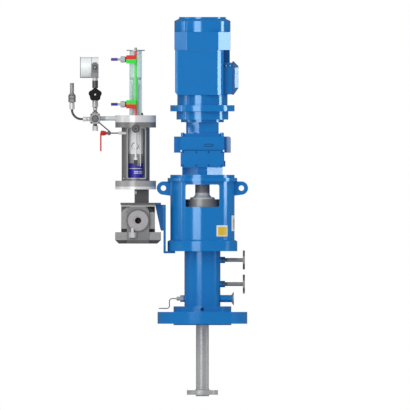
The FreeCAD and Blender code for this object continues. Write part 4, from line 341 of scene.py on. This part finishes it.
def flange_tones(finish, colour):
    """Four discs of different brightness from painted light and shade, and a dark locking knob on the upper
    ones with a painted highlight on its face.
    """
    height = finish.along("Z")
    depth = finish.along("Y")
    # Painted light and shade: each disc gets a brightness of its own.
    top_disc = height.above(0.9415)
    low_discs = height.below(0.70)
    bottom_disc = height.below(0.6407)
    knob = depth.below(-0.0953)
    # Painted highlight on the knob's face.
    knob_face_highlight = finish.inside("XZ", (VESSEL[0], 0.911), 0.0115) * depth.below(-0.0995)
    return finish.zones(
        colour, (top_disc, grey(0.84, 0.005)), (low_discs, grey(0.43, 0.005)), (bottom_disc, grey(0.86)),
        (knob, grey(0.07, 0.005)), (knob_face_highlight, grey(0.20, 0.01)))


def sleeve_tones(finish, colour):
    """A bright upper sleeve over a dark lower one, and a dark block under the front nut."""
    height = finish.along("Z")
    depth = finish.along("Y")
    low_sleeve = height.below(0.793)
    port = (-0.3143, 0.830)
    port_edge = finish.inside("XZ", port, 0.0172) * (1 - finish.inside("XZ", port, 0.0137)) * depth.below(0.0)
    guide_rod = depth.below(-0.0358)
    block = height.below(0.765) * guide_rod * finish.along("X").below(-0.301)
    return finish.zones(
        colour, (low_sleeve, grey(0.38, 0.01)), (port_edge, grey(0.12, 0.005)), (guide_rod, grey(0.95, 0.01)),
        (block, grey(0.05, 0.005)))


def casing_tones(finish, colour):
    """The frame of the window stands proud of the casing and is lighter, with a painted highlight on its
    right edge. The inside is painted lighter, as painted light over its shade.
    """
    # Painted light over the shade of the casing's inside wall.
    inside = finish.inside("XY", VESSEL, 0.0605)
    frame_edge = 1 - finish.inside("XY", VESSEL, 0.0659)
    # Painted highlight on the frame's right edge.
    painted_highlight_edge = frame_edge * finish.along("X").above(-0.290)
    return finish.zones(
        colour, (inside, grey(0.9)), (frame_edge, grey(0.46, 0.01)), (painted_highlight_edge, grey(0.85, 0.01)))


def block_tones(finish, colour):
    """Painted shade in the deep corners, in the right pocket and on the down-facing foot, a middling flange
    round the port and a light ledge above it.
    """
    depth = finish.along("Y")
    height = finish.along("Z")
    column = (finish.along("X") - PORT[0]).math("ABSOLUTE").below(0.0525)
    over_foot = height.above(0.4285)
    # The foot's chamfer faces down: painted shade.
    foot = height.below(0.391)
    ledge = height.above(0.5465)
    # Painted shade in the deep corners, darker still in the lower ones.
    corners = depth.above(-0.0215) * over_foot * height.below(0.5465)
    # Painted shadow in the pocket on the right.
    right_pocket_shadow = finish.along("X").above(-0.2545) * height.between(0.5213, 0.5497)
    port_flange = finish.inside("XZ", PORT, 0.0548) * depth.below(-0.0578) * over_foot
    port_face = finish.inside("XZ", PORT, 0.0475) * depth.below(-0.0618)
    return finish.zones(
        colour, (corners, grey(0.17, 0.005)), (right_pocket_shadow, grey(0.035, 0.002)),
        (corners * height.below(0.45), grey(0.05, 0.002)), (column * depth.below(-0.0575), grey(0.24)),
        (port_flange, grey(0.17, 0.005)), (port_face, (0.43, 0.41, 0.425)), (foot, (0.09, 0.09, 0.10)),
        (foot * column, grey(0.15)), (ledge, grey(0.42)))


def bleed_tones(finish, colour):
    """A lighter cap over the hexagon."""
    cap = finish.along("Z").above(0.4275)
    return finish.zones(colour, (cap, grey(0.75, 0.01)))


def gauge_tones(finish, colour):
    """A dark rim and seam round the barrel, painted shade on the barrel's lower part, and a darker connection
    box with its gland.
    """
    depth = finish.along("Y")
    across = finish.along("X")
    height = finish.along("Z")
    rim_and_seam = across.below(-0.5680).either(across.between(-0.5187, -0.5163))
    box = 1 - finish.inside("YZ", (0.0, GAUGE_HEIGHT), 0.0492)
    box_foot = box * height.below(1.1755)
    # Painted shade on the lower part of the barrel.
    barrel_foot_shade = height.below(1.1530) * depth.above(-0.0480)
    box_front = depth.below(-0.0638)
    gland_middle = (-0.502, 1.198)
    gland = finish.inside("XZ", gland_middle, 0.0102) * box_front
    gland_bore = finish.inside("XZ", gland_middle, 0.0047) * box_front
    return finish.zones(
        colour, (rim_and_seam, (0.30, 0.32, 0.35)), (box, (0.19, 0.195, 0.2)), (box_foot, grey(0.27, 0.03)),
        (barrel_foot_shade, (0.33, 0.35, 0.40)), (gland, grey(0.08, 0.005)), (gland_bore, (0.35, 0.36, 0.37)))


def valve_tones(finish, colour):
    """A dark adapter under a white stem, and shade in the grooves on both sides of the ball joint."""
    height = finish.along("Z")
    groove_shade = height.between(0.9900, 0.9965).either(height.between(1.0102, 1.0128))
    adapter = height.between(1.099, 1.1360)
    stem = height.above(1.1360)
    foot = height.below(0.9905)
    return finish.zones(
        colour, (groove_shade, grey(0.10, 0.005)), (adapter, grey(0.11, 0.002)), (stem, grey(0.9)),
        (foot, grey(0.30, 0.01)))


def check_tones(finish, colour):
    """A light nut under the darker valve, whose grooves are darker still with painted shade."""
    height = finish.along("Z")
    nut = height.below(1.0335)
    spring_case = height.above(1.077)
    # Painted shade in the grooves.
    low_groove_shade = height.between(1.0325, 1.0352).either(height.between(1.0500, 1.0522))
    groove_shade = low_groove_shade.either(height.between(1.066, 1.0685))
    return finish.zones(colour, (nut, grey(0.75, 0.01)), (spring_case, grey(0.36)), (groove_shade, grey(0.06)))


def pipe_tones(finish, colour):
    """Dark small tubes and a pale header pipe."""
    across = finish.along("X")
    level = finish.along("Z").between(0.946, 0.972)
    header = across.above(-0.4774) * level * finish.along("Y").above(-0.0110)
    left_end = header * across.below(-0.452)
    return finish.zones(colour, (header, (0.66, 0.72, 0.76)), (left_end, (0.40, 0.42, 0.44)))


def fitting_tones(finish, colour):
    """The manifold's front plug is darker than the nuts round it, and painted shade darkens the grooves."""
    across = finish.along("X")
    plug = finish.along("Y").below(-0.0232) * finish.inside("XZ", MANIFOLD, 0.0170)
    plug_face = plug * finish.inside("XZ", MANIFOLD, 0.0125)
    # Painted shade in the grooves.
    side_groove_shade = across.between(-0.5405, -0.5375).either(across.between(-0.5262, -0.5240))
    groove_shade = side_groove_shade.either(finish.along("Z").between(0.9230, 0.9340))
    return finish.zones(
        colour, (groove_shade, grey(0.12, 0.005)), (plug, grey(0.07, 0.002)), (plug_face, grey(0.16, 0.005)))


def scale_tones(finish, colour):
    """Green between red ends, with painted light on the left half of the film."""
    height = finish.along("Z")
    ends = height.above(1.2535).either(height.below(1.0054))
    # Painted light: the left half of the film is lighter than the right.
    left_half_painted_light = finish.along("X").below(-0.3125)
    return finish.zones(colour, (ends, (0.86, 0.012, 0.012)), (left_half_painted_light * 0.22, grey(1.0)))


def clamp_tones(finish, colour):
    """Each clamp is green on the side of the working range and red beyond it."""
    height = finish.along("Z")
    beyond = height.above(1.2346).either(height.below(1.0254))
    return finish.zones(colour, (beyond, (0.78, 0.012, 0.008)))


def sensor_tones(finish, colour):
    """Black collar, light body and blue cable plug, the upper plug a little lighter."""
    across = finish.along("X")
    collar = across.above(-0.3611)
    plug = across.below(-0.3964)
    plug_blue = finish.blend(finish.along("Z").above(1.1), (0.033, 0.021, 0.30), (0.071, 0.038, 0.38))
    return finish.zones(colour, (collar, grey(0.012)), (plug, plug_blue))


def hub_tones(finish, colour):
    """The disc of the hub is painted near white, as painted light over the lantern's shade, and is lighter
    than its neck.
    """
    # Painted light on the disc inside the lantern.
    disc = finish.along("Z").below(0.612)
    return finish.zones(colour, (disc, (0.98, 0.99, 1.0)))


def nozzle_tones(finish, colour):
    """The discs of the nozzles have painted shade towards their rims and painted light across their middles.
    """
    across = finish.along("X")
    height = finish.along("Z")
    # Painted shade on the discs, with painted light across their middles.
    discs = across.above(0.1865) * height.above(0.15)
    lit_middles = height.between(0.281, 0.315).either(height.between(0.168, 0.202))
    necks = across.below(0.1180)
    flush_pipe = height.below(0.149)
    return finish.zones(
        colour, (discs, grey(0.10)), (discs * lit_middles, grey(0.36)), (necks, grey(0.12)),
        (flush_pipe, (0.55, 0.58, 0.60)))


def cover_tones(finish, colour):
    """Painted shade on the rim round the oval boss on the gearbox, and a painted highlight on the right
    cover's edge.
    """
    from_middle = (finish.along("X") - 0.030).math("ABSOLUTE")
    from_line = (finish.along("Z") - 0.8334).math("ABSOLUTE")
    boss = finish.along("Y").below(-0.0952) * from_line.below(0.0067)
    # Painted shade round the boss.
    rim = boss * (1 - from_middle.below(0.0165) * from_line.below(0.0030))
    # Painted highlight on the right cover's edge.
    painted_highlight_edge = finish.along("X").above(0.1135) * finish.along("Z").above(0.795)
    return finish.zones(colour, (rim, scaled(colour, 0.4)), (painted_highlight_edge, (0.30, 0.42, 0.68)))


def jacket_tones(finish, colour):
    """The welded sockets on the right are darker than the jacket."""
    sockets = finish.along("X").above(0.0875) * finish.along("Z").above(0.15)
    return finish.zones(colour, (sockets, scaled(colour, 0.45)))


def lid_shade(finish):
    """The slopes of the lid that turn away from the light."""
    height = finish.along("Z")
    across = finish.along("X")
    slopes = height.above(1.196).either(height.below(1.102)).either(across.below(0.1515))
    return across.above(0.1405) * slopes


def lid_tones(finish, colour):
    """A lid whose slopes are painted darker than its face, as painted shade."""
    return finish.zones(colour, (lid_shade(finish), scaled(colour, 0.35)))


def make_finishes(paints):
    """Every finish by the name of its slot, or of the one node that it is for."""
    blue = tuple(paints.machine_blue)
    return {
        "blue_paint": paint("machine_blue", blue),
        "motor_paint": paint("motor_blue", blue),
        "terminal_box_lid": paint("lid_blue", blue, tint=lid_tones, dull=lid_shade),
        "bracket_paint": paint("bracket_blue", tuple(paints.bracket_blue)),
        "stainless_steel": steel("turned_stainless", (0.45, 0.45, 0.46)),
        "vessel_flanges": steel("flange_stainless", (0.25, 0.25, 0.255), 0.25, 0.12, tint=flange_tones),
        "inner_cylinder": steel("sleeve_steel", (0.98, 0.98, 0.985), 0.55, 0.0, tint=sleeve_tones),
        "bleed_screw": steel("bleed_steel", (0.62, 0.62, 0.63), 0.3, 0.15, tint=bleed_tones),
        "gauge_valve": steel("valve_steel", (0.62, 0.62, 0.63), tint=valve_tones),
        "check_valve": steel("check_steel", (0.28, 0.28, 0.285), tint=check_tones),
        "connecting_pipes": steel("pipe_steel", (0.07, 0.07, 0.075), 0.25, 0.3, tint=pipe_tones),
        "pipe_fittings": steel("fitting_steel", (0.72, 0.72, 0.73), tint=fitting_tones),
        "ball_valve_body": steel("ball_valve_steel", (0.12, 0.11, 0.13)),
        "shaft_steel": steel("ground_shaft", (0.54, 0.54, 0.545), 0.28, 0.4, (0.0, 0.0, 900.0)),
        "side_nozzles": steel("nozzle_steel", (0.30, 0.30, 0.305), 0.25, 0.5, tint=nozzle_tones),
        "screws_and_bolts": paint("screw_blue", scaled(blue, 0.45)),
        "gearbox_covers": paint("cover_blue", blue, tint=cover_tones),
        "cooling_jacket": paint("jacket_blue", blue, tint=jacket_tones),
        "machined_steel": steel("machined_steel", (0.40, 0.40, 0.40), 0.35),
        "dark_steel": steel("dark_hub_steel", (0.34, 0.34, 0.345), 0.42, 0.0, tint=hub_tones),
        "gear_steel": steel("gear_steel", (0.26, 0.26, 0.27), 0.3, 0.6),
        "bearing_steel": steel("bearing_steel", (0.5, 0.5, 0.52), 0.2, 0.8),
        "lamination_steel": steel("laminations", (0.09, 0.09, 0.095), 0.5, 0.6),
        "magnet_plating": steel("magnet_plating", (0.45, 0.45, 0.47), 0.2, 0.8),
        "bush_bronze": steel("bush_bronze", (0.35, 0.2, 0.06), 0.35, 0.6),
        "lead_sheath": steel("lead_sheath", (0.12, 0.12, 0.13), 0.4, 0.3, (900.0, 900.0, 900.0)),
        "plate_steel": blasted("plate_steel", (0.11, 0.11, 0.112), 0.45),
        "block_steel": blasted("manifold_grey", (0.42, 0.42, 0.43), 0.5, 0.2),
        "connection_block": blasted("block_grey", (0.33, 0.33, 0.335), 0.5, tint=block_tones),
        "dark_post": blasted("post_grey", (0.085, 0.083, 0.092), 0.45),
        "casing_steel": steel("casing_steel", (0.22, 0.22, 0.225), 0.35, tint=casing_tones),
        "clear_tube": clear("clear_acrylic", (0.60, 0.92, 0.88)),
        "aluminium": steel("turned_aluminium", (0.45, 0.47, 0.48), 0.35, 0.6),
        "scale_film": moulded("scale_film", (0.03, 0.80, 0.05), 0.4, tint=scale_tones),
        "clamp_plastic": moulded("clamp_plastic", (0.03, 0.80, 0.05), 0.4, tint=clamp_tones),
        "sensor_plastic": moulded("sensor_body", (0.5, 0.53, 0.54), 0.4, tint=sensor_tones),
        "black_plastic": moulded("black_moulding", (0.006, 0.006, 0.006), 0.1),
        "gauge_steel": steel("gauge_case_steel", (0.95, 0.99, 1.0), 0.42, 0.15, (900.0, 6.0, 6.0),
                             gauge_tones),
        "white_dial": moulded("dial_white", (0.8, 0.8, 0.8), 0.4),
        "gauge_glass": clear("instrument_glass", (0.9, 0.95, 0.96), 0.02, 0.15),
        "pointer_metal": moulded("pointer_black", (0.01, 0.01, 0.01), 0.4),
        "red_plastic": moulded("lever_red", (0.62, 0.010, 0.012), 0.25, 0.1),
    }


def activate(item):
    """Make one object the active and only selected one."""
    bpy.ops.object.select_all(action="DESELECT")
    item.select_set(True)
    bpy.context.view_layer.objects.active = item


def apply(item, kind, **settings):
    modifier = item.modifiers.new(kind.lower(), kind)
    for name, value in settings.items():
        setattr(modifier, name, value)
    bpy.ops.object.modifier_apply(modifier=modifier.name)


def round_edges(item, width, segments=2, smooth=SMOOTH_ANGLE):
    """Break the sharp edges, and keep the large faces flat in their shading."""
    activate(item)
    apply(item, "BEVEL", width=width, segments=segments, limit_method="ANGLE",
          angle_limit=math.radians(ROUND_FROM_ANGLE))
    bpy.ops.object.shade_smooth_by_angle(angle=math.radians(smooth))
    apply(item, "WEIGHTED_NORMAL", mode="FACE_AREA", weight=100, keep_sharp=True)


def dressed(label, node, width, finish, smooth):
    """A clean copy of a frame node: merged, flat faces joined, edges rounded and shaded smooth."""
    merge_distance = 0.000005
    flat_within = math.radians(0.5)
    piece = bpy.data.objects.new(label, frame["nodes"][node].data.copy())
    bpy.context.scene.collection.objects.link(piece)
    activate(piece)
    bpy.ops.object.mode_set(mode="EDIT")
    bpy.ops.mesh.select_all(action="SELECT")
    bpy.ops.mesh.remove_doubles(threshold=merge_distance)
    bpy.ops.mesh.dissolve_limited(angle_limit=flat_within)
    bpy.ops.object.mode_set(mode="OBJECT")
    round_edges(piece, width, smooth=smooth)
    piece.data.materials.clear()
    piece.data.materials.append(finish)
    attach(piece, frame["nodes"][node]["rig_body"])
    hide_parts(node)
    return piece


class AGITATOR_OT_frame_nodes(bpy.types.Operator):
    """Give every frame node its finish, with rounded edges"""

    bl_idname = "agitator.frame_nodes"
    bl_label = "Frame nodes"

    def execute(self, context):
        sizes = context.scene.paint_sizes
        finishes = make_finishes(sizes)
        slots = {row["node"]: row["material_slot"] for row in frame["record"]["subparts"]}
        for node, item in frame["nodes"].items():
            finish = finishes.get(node) or finishes[slots[node]]
            for slot in item.material_slots:
                slot.material = finish
            painted = slots[node] in ("blue_paint", "motor_paint", "bracket_paint")
            width = sizes.edge_round if painted else sizes.small_round
            smooth = FACET_ANGLE if node in FACETED else SMOOTH_ANGLE
            piece = dressed(f"{node}_dressed", node, width, finish, smooth)
        return {"FINISHED"}


def keep_faces(item, wanted):
    """Delete every face whose middle the test turns down."""
    activate(item)
    bpy.ops.object.mode_set(mode="EDIT")
    bpy.ops.mesh.select_mode(type="FACE")
    bpy.ops.mesh.select_all(action="DESELECT")
    bpy.ops.object.mode_set(mode="OBJECT")
    for face in item.data.polygons:
        face.select = not wanted(face.center)
    bpy.ops.object.mode_set(mode="EDIT")
    bpy.ops.mesh.delete(type="FACE")
    bpy.ops.object.mode_set(mode="OBJECT")


def settle(item, name, finish, body="root"):
    """Name a finished piece, put its place into its mesh, and let it ride."""
    item.name = name
    activate(item)
    bpy.ops.object.transform_apply(location=True, rotation=True, scale=True)
    item.data.materials.clear()
    item.data.materials.append(finish)
    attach(item, body)
    return item


def azimuth(middle):
    """Angle about the upright axis, from the front towards the right."""
    return math.degrees(math.atan2(middle.x, -middle.y))


def open_drum(radius, low, high):
    """An upright tube without ends, with a face for each degree."""
    bpy.ops.mesh.primitive_cylinder_add(
        vertices=360, radius=radius, depth=high - low, end_fill_type="NOTHING",
        location=(0.0, 0.0, (low + high) / 2))
    return bpy.context.active_object


def wrapped_plate(name, centre, radius, sector, heights, thickness, finish):
    """A thin plate bent round a drum, over a sector and between two heights."""
    item = open_drum(radius, *heights)
    keep_faces(item, lambda middle: sector[0] < azimuth(middle) < sector[1])
    apply(item, "SOLIDIFY", thickness=thickness, offset=1.0)
    item.location.xy = centre
    round_edges(item, thickness * PLATE_EDGE, segments=1)
    return settle(item, name, finish)


def rod(name, start, end, radius, finish, sides=32, body="root"):
    """A straight bar with broken edges. Six sides make a hexagon, and three an arrow's head."""
    start, end = Vector(start), Vector(end)
    bpy.ops.mesh.primitive_cylinder_add(vertices=sides, radius=radius, depth=(end - start).length,
                                        location=(start + end) / 2)
    item = bpy.context.active_object
    item.rotation_euler = (end - start).to_track_quat("Z", "Y").to_euler()
    round_edges(item, radius * BAR_EDGE)
    return settle(item, name, finish, body)


def joined(name, pieces):
    """Several finished pieces as one."""
    activate(pieces[0])
    for piece in pieces[1:]:
        piece.select_set(True)
    bpy.ops.object.join()
    pieces[0].name = name
    return pieces[0]


def on_drum(centre, radius, angle, height):
    """A place on a drum, by its angle from the front towards the right."""
    turn = math.radians(angle)
    return (centre[0] + radius * math.sin(turn), centre[1] - radius * math.cos(turn), height)


class AGITATOR_OT_info_plate(bpy.types.Operator):
    """Make the blue plate on the lower sleeve, with plain white rules"""

    bl_idname = "agitator.info_plate"
    bl_label = "Info plate"

    def execute(self, context):
        film = moulded("plate_blue", (0.045, 0.038, 0.52), 0.35)
        white = moulded("rule_white", (0.8, 0.8, 0.82), 0.4)
        film_radius, film_thickness = 0.0352, 0.0005
        rule_radius, rule_thickness = 0.0358, 0.0003
        body, tabs = (0.6825, 0.7365), (0.7367, 0.7500)
        films = [((-86.0, 86.0), body), ((-86.0, -15.0), tabs), ((21.0, 86.0), tabs)]
        top_rule, upper_rules, lower_rules = (0.7235, 0.7268), (0.7095, 0.7135), (0.7015, 0.7062)
        short, long = (-12.0, 22.0), (28.0, 58.0)
        rules = [((-62.0, 52.0), top_rule), (short, upper_rules), (long, upper_rules), (short, lower_rules),
                 (long, lower_rules)]
        joined("info_plate", [
            wrapped_plate(f"plate_{index}", VESSEL, film_radius, sector, heights, film_thickness, film)
            for index, (sector, heights) in enumerate(films)])
        joined("info_plate_rules", [
            wrapped_plate(f"rule_{index}", VESSEL, rule_radius, sector, heights, rule_thickness, white)
            for index, (sector, heights) in enumerate(rules)])
        return {"FINISHED"}


class AGITATOR_OT_lantern_plates(bpy.types.Operator):
    """Make the two plain plates at the foot of the lantern"""

    bl_idname = "agitator.lantern_plates"
    bl_label = "Lantern plates"

    def execute(self, context):
        white = moulded("plate_white", (0.80, 0.82, 0.80), 0.35)
        yellow = moulded("plate_yellow", (0.72, 0.50, 0.015), 0.35)
        red = moulded("arrow_red", (0.55, 0.012, 0.02), 0.35)
        plate_radius, inset_radius = 0.1501, 0.1509
        plate, film = 0.0008, 0.0003
        wrapped_plate("front_plate", AXIS, plate_radius, (25.7, 51.3), (0.408, 0.460), plate, white)
        wrapped_plate("front_plate_inset", AXIS, inset_radius, (29.0, 48.5), (0.4125, 0.4525), film, yellow)
        wrapped_plate("side_plate", AXIS, plate_radius, (64.5, 88.0), (0.433, 0.506), plate, white)
        bar = wrapped_plate("arrow_bar", AXIS, inset_radius, (74.0, 78.5), (0.443, 0.480), film, red)
        head = rod("arrow_head", on_drum(AXIS, 0.1508, 76.25, 0.483), on_drum(AXIS, 0.1513, 76.25, 0.483),
                   0.012, red, sides=3)
        joined("side_plate_arrow", [bar, head])
        return {"FINISHED"}


class AGITATOR_OT_small_fittings(bpy.types.Operator):
    """Make the small screws, plugs and pins that the photograph shows"""

    bl_idname = "agitator.small_fittings"
    bl_label = "Small fittings"

    def execute(self, context):
        bright = steel("bright_fittings", (0.72, 0.72, 0.73), 0.25, 0.3)
        dark = moulded("dark_fittings", (0.010, 0.010, 0.012), 0.3)

        rod("flange_pin", (-0.2815, -0.030, 0.9730), (-0.2815, -0.030, 0.9850), 0.0044, dark)
        rod("casing_plug", on_drum(VESSEL, 0.0645, -55.0, 0.679), on_drum(VESSEL, 0.0705, -55.0, 0.679),
            0.0045, bright, sides=6)
        rod("flange_plug", on_drum(AXIS, 0.2040, -61.4, 0.030), on_drum(AXIS, 0.2093, -61.4, 0.030), 0.0042,
            dark)

        body = rod("post_fitting_body", (-0.3105, -0.0335, 0.6115), (-0.3105, -0.0430, 0.6115), 0.0045,
                   bright, sides=6)
        cap = rod("post_fitting_cap", (-0.3105, -0.0385, 0.6060), (-0.3105, -0.0385, 0.6210), 0.0038,
                  bright)
        joined("post_fitting", [body, cap])

        middle, height = MANIFOLD
        corners = [(middle + across, height + up) for across in (-0.0175, 0.0175) for up in (-0.0185, 0.0185)]
        joined("manifold_screws", [
            rod(f"manifold_screw_{index}", (x, -0.0230, z), (x, -0.0252, z), 0.0028, dark)
            for index, (x, z) in enumerate(corners)])

        rod("handwheel_screw", (middle, -0.0550, WHEEL_HEIGHT), (middle, -0.0580, WHEEL_HEIGHT), 0.0042,
            bright, body="handwheel")
        rod("handwheel_web", (middle, -0.0412, WHEEL_HEIGHT), (middle, -0.0552, WHEEL_HEIGHT), 0.0272,
            dark, sides=48, body="handwheel")

        rail_height = 1.2050
        rod("box_rail", (0.0845, -0.0645, rail_height), (0.1385, -0.0645, rail_height), 0.0024, dark)
        joined("box_rail_screws", [
            rod(f"box_screw_{index}", (x, -0.0620, rail_height), (x, -0.0685, rail_height), 0.0034, bright,
                sides=6)
            for index, x in enumerate((0.0930, 0.1115, 0.1300))])
        return {"FINISHED"}


class AGITATOR_OT_gauge_markings(bpy.types.Operator):
    """Make the ticks and numbers on the gauge's dial, which faces left"""

    bl_idname = "agitator.gauge_markings"
    bl_label = "Gauge markings"

    def execute(self, context):
        ink = moulded("dial_ink", (0.012, 0.012, 0.012), 0.4)
        face = Vector((-0.5581, 0.0, GAUGE_HEIGHT))
        start, sweep = -135.0, 270.0
        steps, long_every = 50, 5
        tick_reach, long_start, short_start = 0.0405, 0.0335, 0.0370
        long_radius, short_radius = 0.00055, 0.0003
        top_number, number_step = 10, 2
        number_reach, number_size, number_height = 0.0265, 0.0075, 0.0001
        number_shift = Vector((-0.0002, 0.0, -0.0025))

        def way(share):
            """The direction on the dial at a share of the sweep."""
            turn = math.radians(start + sweep * share)
            return Vector((0.0, math.sin(turn), math.cos(turn)))

        ticks = []
        for index in range(steps + 1):
            is_long = index % long_every == 0
            inner, radius = (long_start, long_radius) if is_long else (short_start, short_radius)
            out = way(index / steps)
            ticks.append(rod(f"tick_{index}", face + out * inner, face + out * tick_reach, radius, ink,
                             sides=6))
        joined("dial_ticks", ticks)

        numbers = []
        for value in range(0, top_number + 1, number_step):
            spot = face + way(value / top_number) * number_reach + number_shift
            bpy.ops.object.text_add(location=spot, rotation=(math.radians(90), 0.0, math.radians(-90)))
            item = bpy.context.active_object
            item.data.body = str(value)
            item.data.size = number_size
            item.data.align_x = "CENTER"
            item.data.extrude = number_height
            activate(item)
            bpy.ops.object.convert(target="MESH")
            numbers.append(settle(bpy.context.active_object, f"number_{value}", ink))
        joined("dial_numbers", numbers)
        return {"FINISHED"}


def lamp(name, foot, turn, distance, width, height, power):
    """A soft upright light that faces the drive's axis.

    The foot is the height at which it begins, and the turn is its angle from the front towards the right.
    """
    data = bpy.data.lights.new(name, "AREA")
    data.shape = "RECTANGLE"
    data.size = width
    data.size_y = height
    data.energy = power
    item = bpy.data.objects.new(name, data)
    bpy.context.scene.collection.objects.link(item)
    centre = Vector((*AXIS, foot + height / 2))
    item.location = on_drum(AXIS, distance, turn, centre.z)
    item.rotation_euler = (centre - item.location).to_track_quat("-Z", "Y").to_euler()
    item.visible_camera = False


# The gaps between the boards, as angles from the front towards the right, and where the boards stand
FRONT_SECTOR = (-38.0, -4.0)
SIDE_SECTORS = ((-96.0, -86.0), (-83.0, -78.0), (-71.0, -65.0), (83.5, 98.5))
FLAG_RADIUS = 9.5
FLAG_FOOT = -2.0
FLAG_TOP = 16.0


def flags(name, low, high, sectors, tone):
    """Grey boards between the lamps, which only reflections see, so that curved metal shows bands."""
    boards = open_drum(FLAG_RADIUS, low, high)
    boards.name = name
    keep_faces(boards, lambda middle: not any(first < azimuth(middle) < last for first, last in sectors))
    finish = Finish("flag_grey", Base_Color=BLACK, Emission_Color=grey(tone), Emission_Strength=1.0,
                    Specular_IOR_Level=0.0)
    boards.data.materials.append(finish.material)
    boards.visible_camera = False
    boards.visible_diffuse = False
    boards.visible_transmission = False
    boards.visible_shadow = False


class AGITATOR_OT_studio(bpy.types.Operator):
    """Make the floor, the lamps, the background and the camera"""

    bl_idname = "agitator.studio"
    bl_label = "Studio"

    def execute(self, context):
        sizes = context.scene.studio_sizes
        scene = context.scene

        world = bpy.data.worlds.new("studio")
        scene.world = world
        world.use_nodes = True
        tree = world.node_tree
        rays = tree.nodes.new("ShaderNodeLightPath")
        shown = Wire(tree, rays.outputs["Is Camera Ray"])
        for kind in ("Is Glossy Ray", "Is Transmission Ray"):
            shown = shown.either(Wire(tree, rays.outputs[kind]))
        plug(tree, tree.nodes["Background"].inputs["Strength"], shown * (1.0 - sizes.fill) + sizes.fill)
        tree.nodes["Background"].inputs["Color"].default_value = (1.0, 1.0, 1.0, 1.0)

        shaft_end = CAD_BOX[0].z
        bpy.ops.mesh.primitive_plane_add(size=sizes.floor_size, location=(*AXIS, shaft_end - sizes.floor_gap))
        floor = context.active_object
        floor.name = "studio_floor"
        white = Finish("floor_white", Base_Color=grey(0.85), Roughness=0.6)
        floor.data.materials.append(white.material)

        front_foot, side_foot = sizes.front_light_low, sizes.side_light_low
        tone = sizes.flag_tone
        flags("studio_flags_foot", FLAG_FOOT, front_foot, (), tone)
        flags("studio_flags_low", front_foot, side_foot, (FRONT_SECTOR,), tone)
        flags("studio_flags_high", side_foot, FLAG_TOP, (FRONT_SECTOR, *SIDE_SECTORS), tone)
        far = sizes.lamp_distance
        lamp("strip_right", side_foot, turn=91.0, distance=far, width=2.0, height=6.0, power=205.0)
        lamp("strip_front_left", front_foot, turn=-20.0, distance=far, width=3.75, height=10.0, power=388.0)
        lamp("strip_left", side_foot, turn=-80.5, distance=far, width=0.7, height=6.0, power=33.0)

        camera_distance, view_depth = 5.0, 30.0
        data = bpy.data.cameras.new("camera")
        data.type = "ORTHO"
        data.ortho_scale = sizes.view_width
        data.clip_end = view_depth
        camera = bpy.data.objects.new("camera", data)
        scene.collection.objects.link(camera)
        camera.location = (sizes.view_x, -camera_distance, sizes.view_z)
        camera.rotation_euler = (math.radians(90), 0.0, 0.0)
        scene.camera = camera
        scene.view_settings.view_transform = "Standard"
        return {"FINISHED"}


class AGITATOR_PT_panel(bpy.types.Panel):
    """The agitator's tools in the sidebar"""

    bl_label = "Agitator"
    bl_space_type = "VIEW_3D"
    bl_region_type = "UI"
    bl_category = "Agitator"

    def draw(self, context):
        for item in OPERATORS:
            self.layout.operator(item.bl_idname)


OPERATORS = (AGITATOR_OT_studio, AGITATOR_OT_frame_nodes, AGITATOR_OT_info_plate, AGITATOR_OT_lantern_plates,
             AGITATOR_OT_small_fittings, AGITATOR_OT_gauge_markings)
GROUPS = {"paint_sizes": PaintSizes, "studio_sizes": StudioSizes}


def register():
    for item in (*GROUPS.values(), *OPERATORS, AGITATOR_PT_panel):
        bpy.utils.register_class(item)
    for name, group in GROUPS.items():
        setattr(bpy.types.Scene, name, PointerProperty(type=group))


def unregister():
    for name in GROUPS:
        delattr(bpy.types.Scene, name)
    for item in reversed((*GROUPS.values(), *OPERATORS, AGITATOR_PT_panel)):
        bpy.utils.unregister_class(item)


def main():
    register()
    for item in OPERATORS:
        group, name = item.bl_idname.split(".")
        getattr(getattr(bpy.ops, group), name)()


if __name__ == "__main__":
    main()
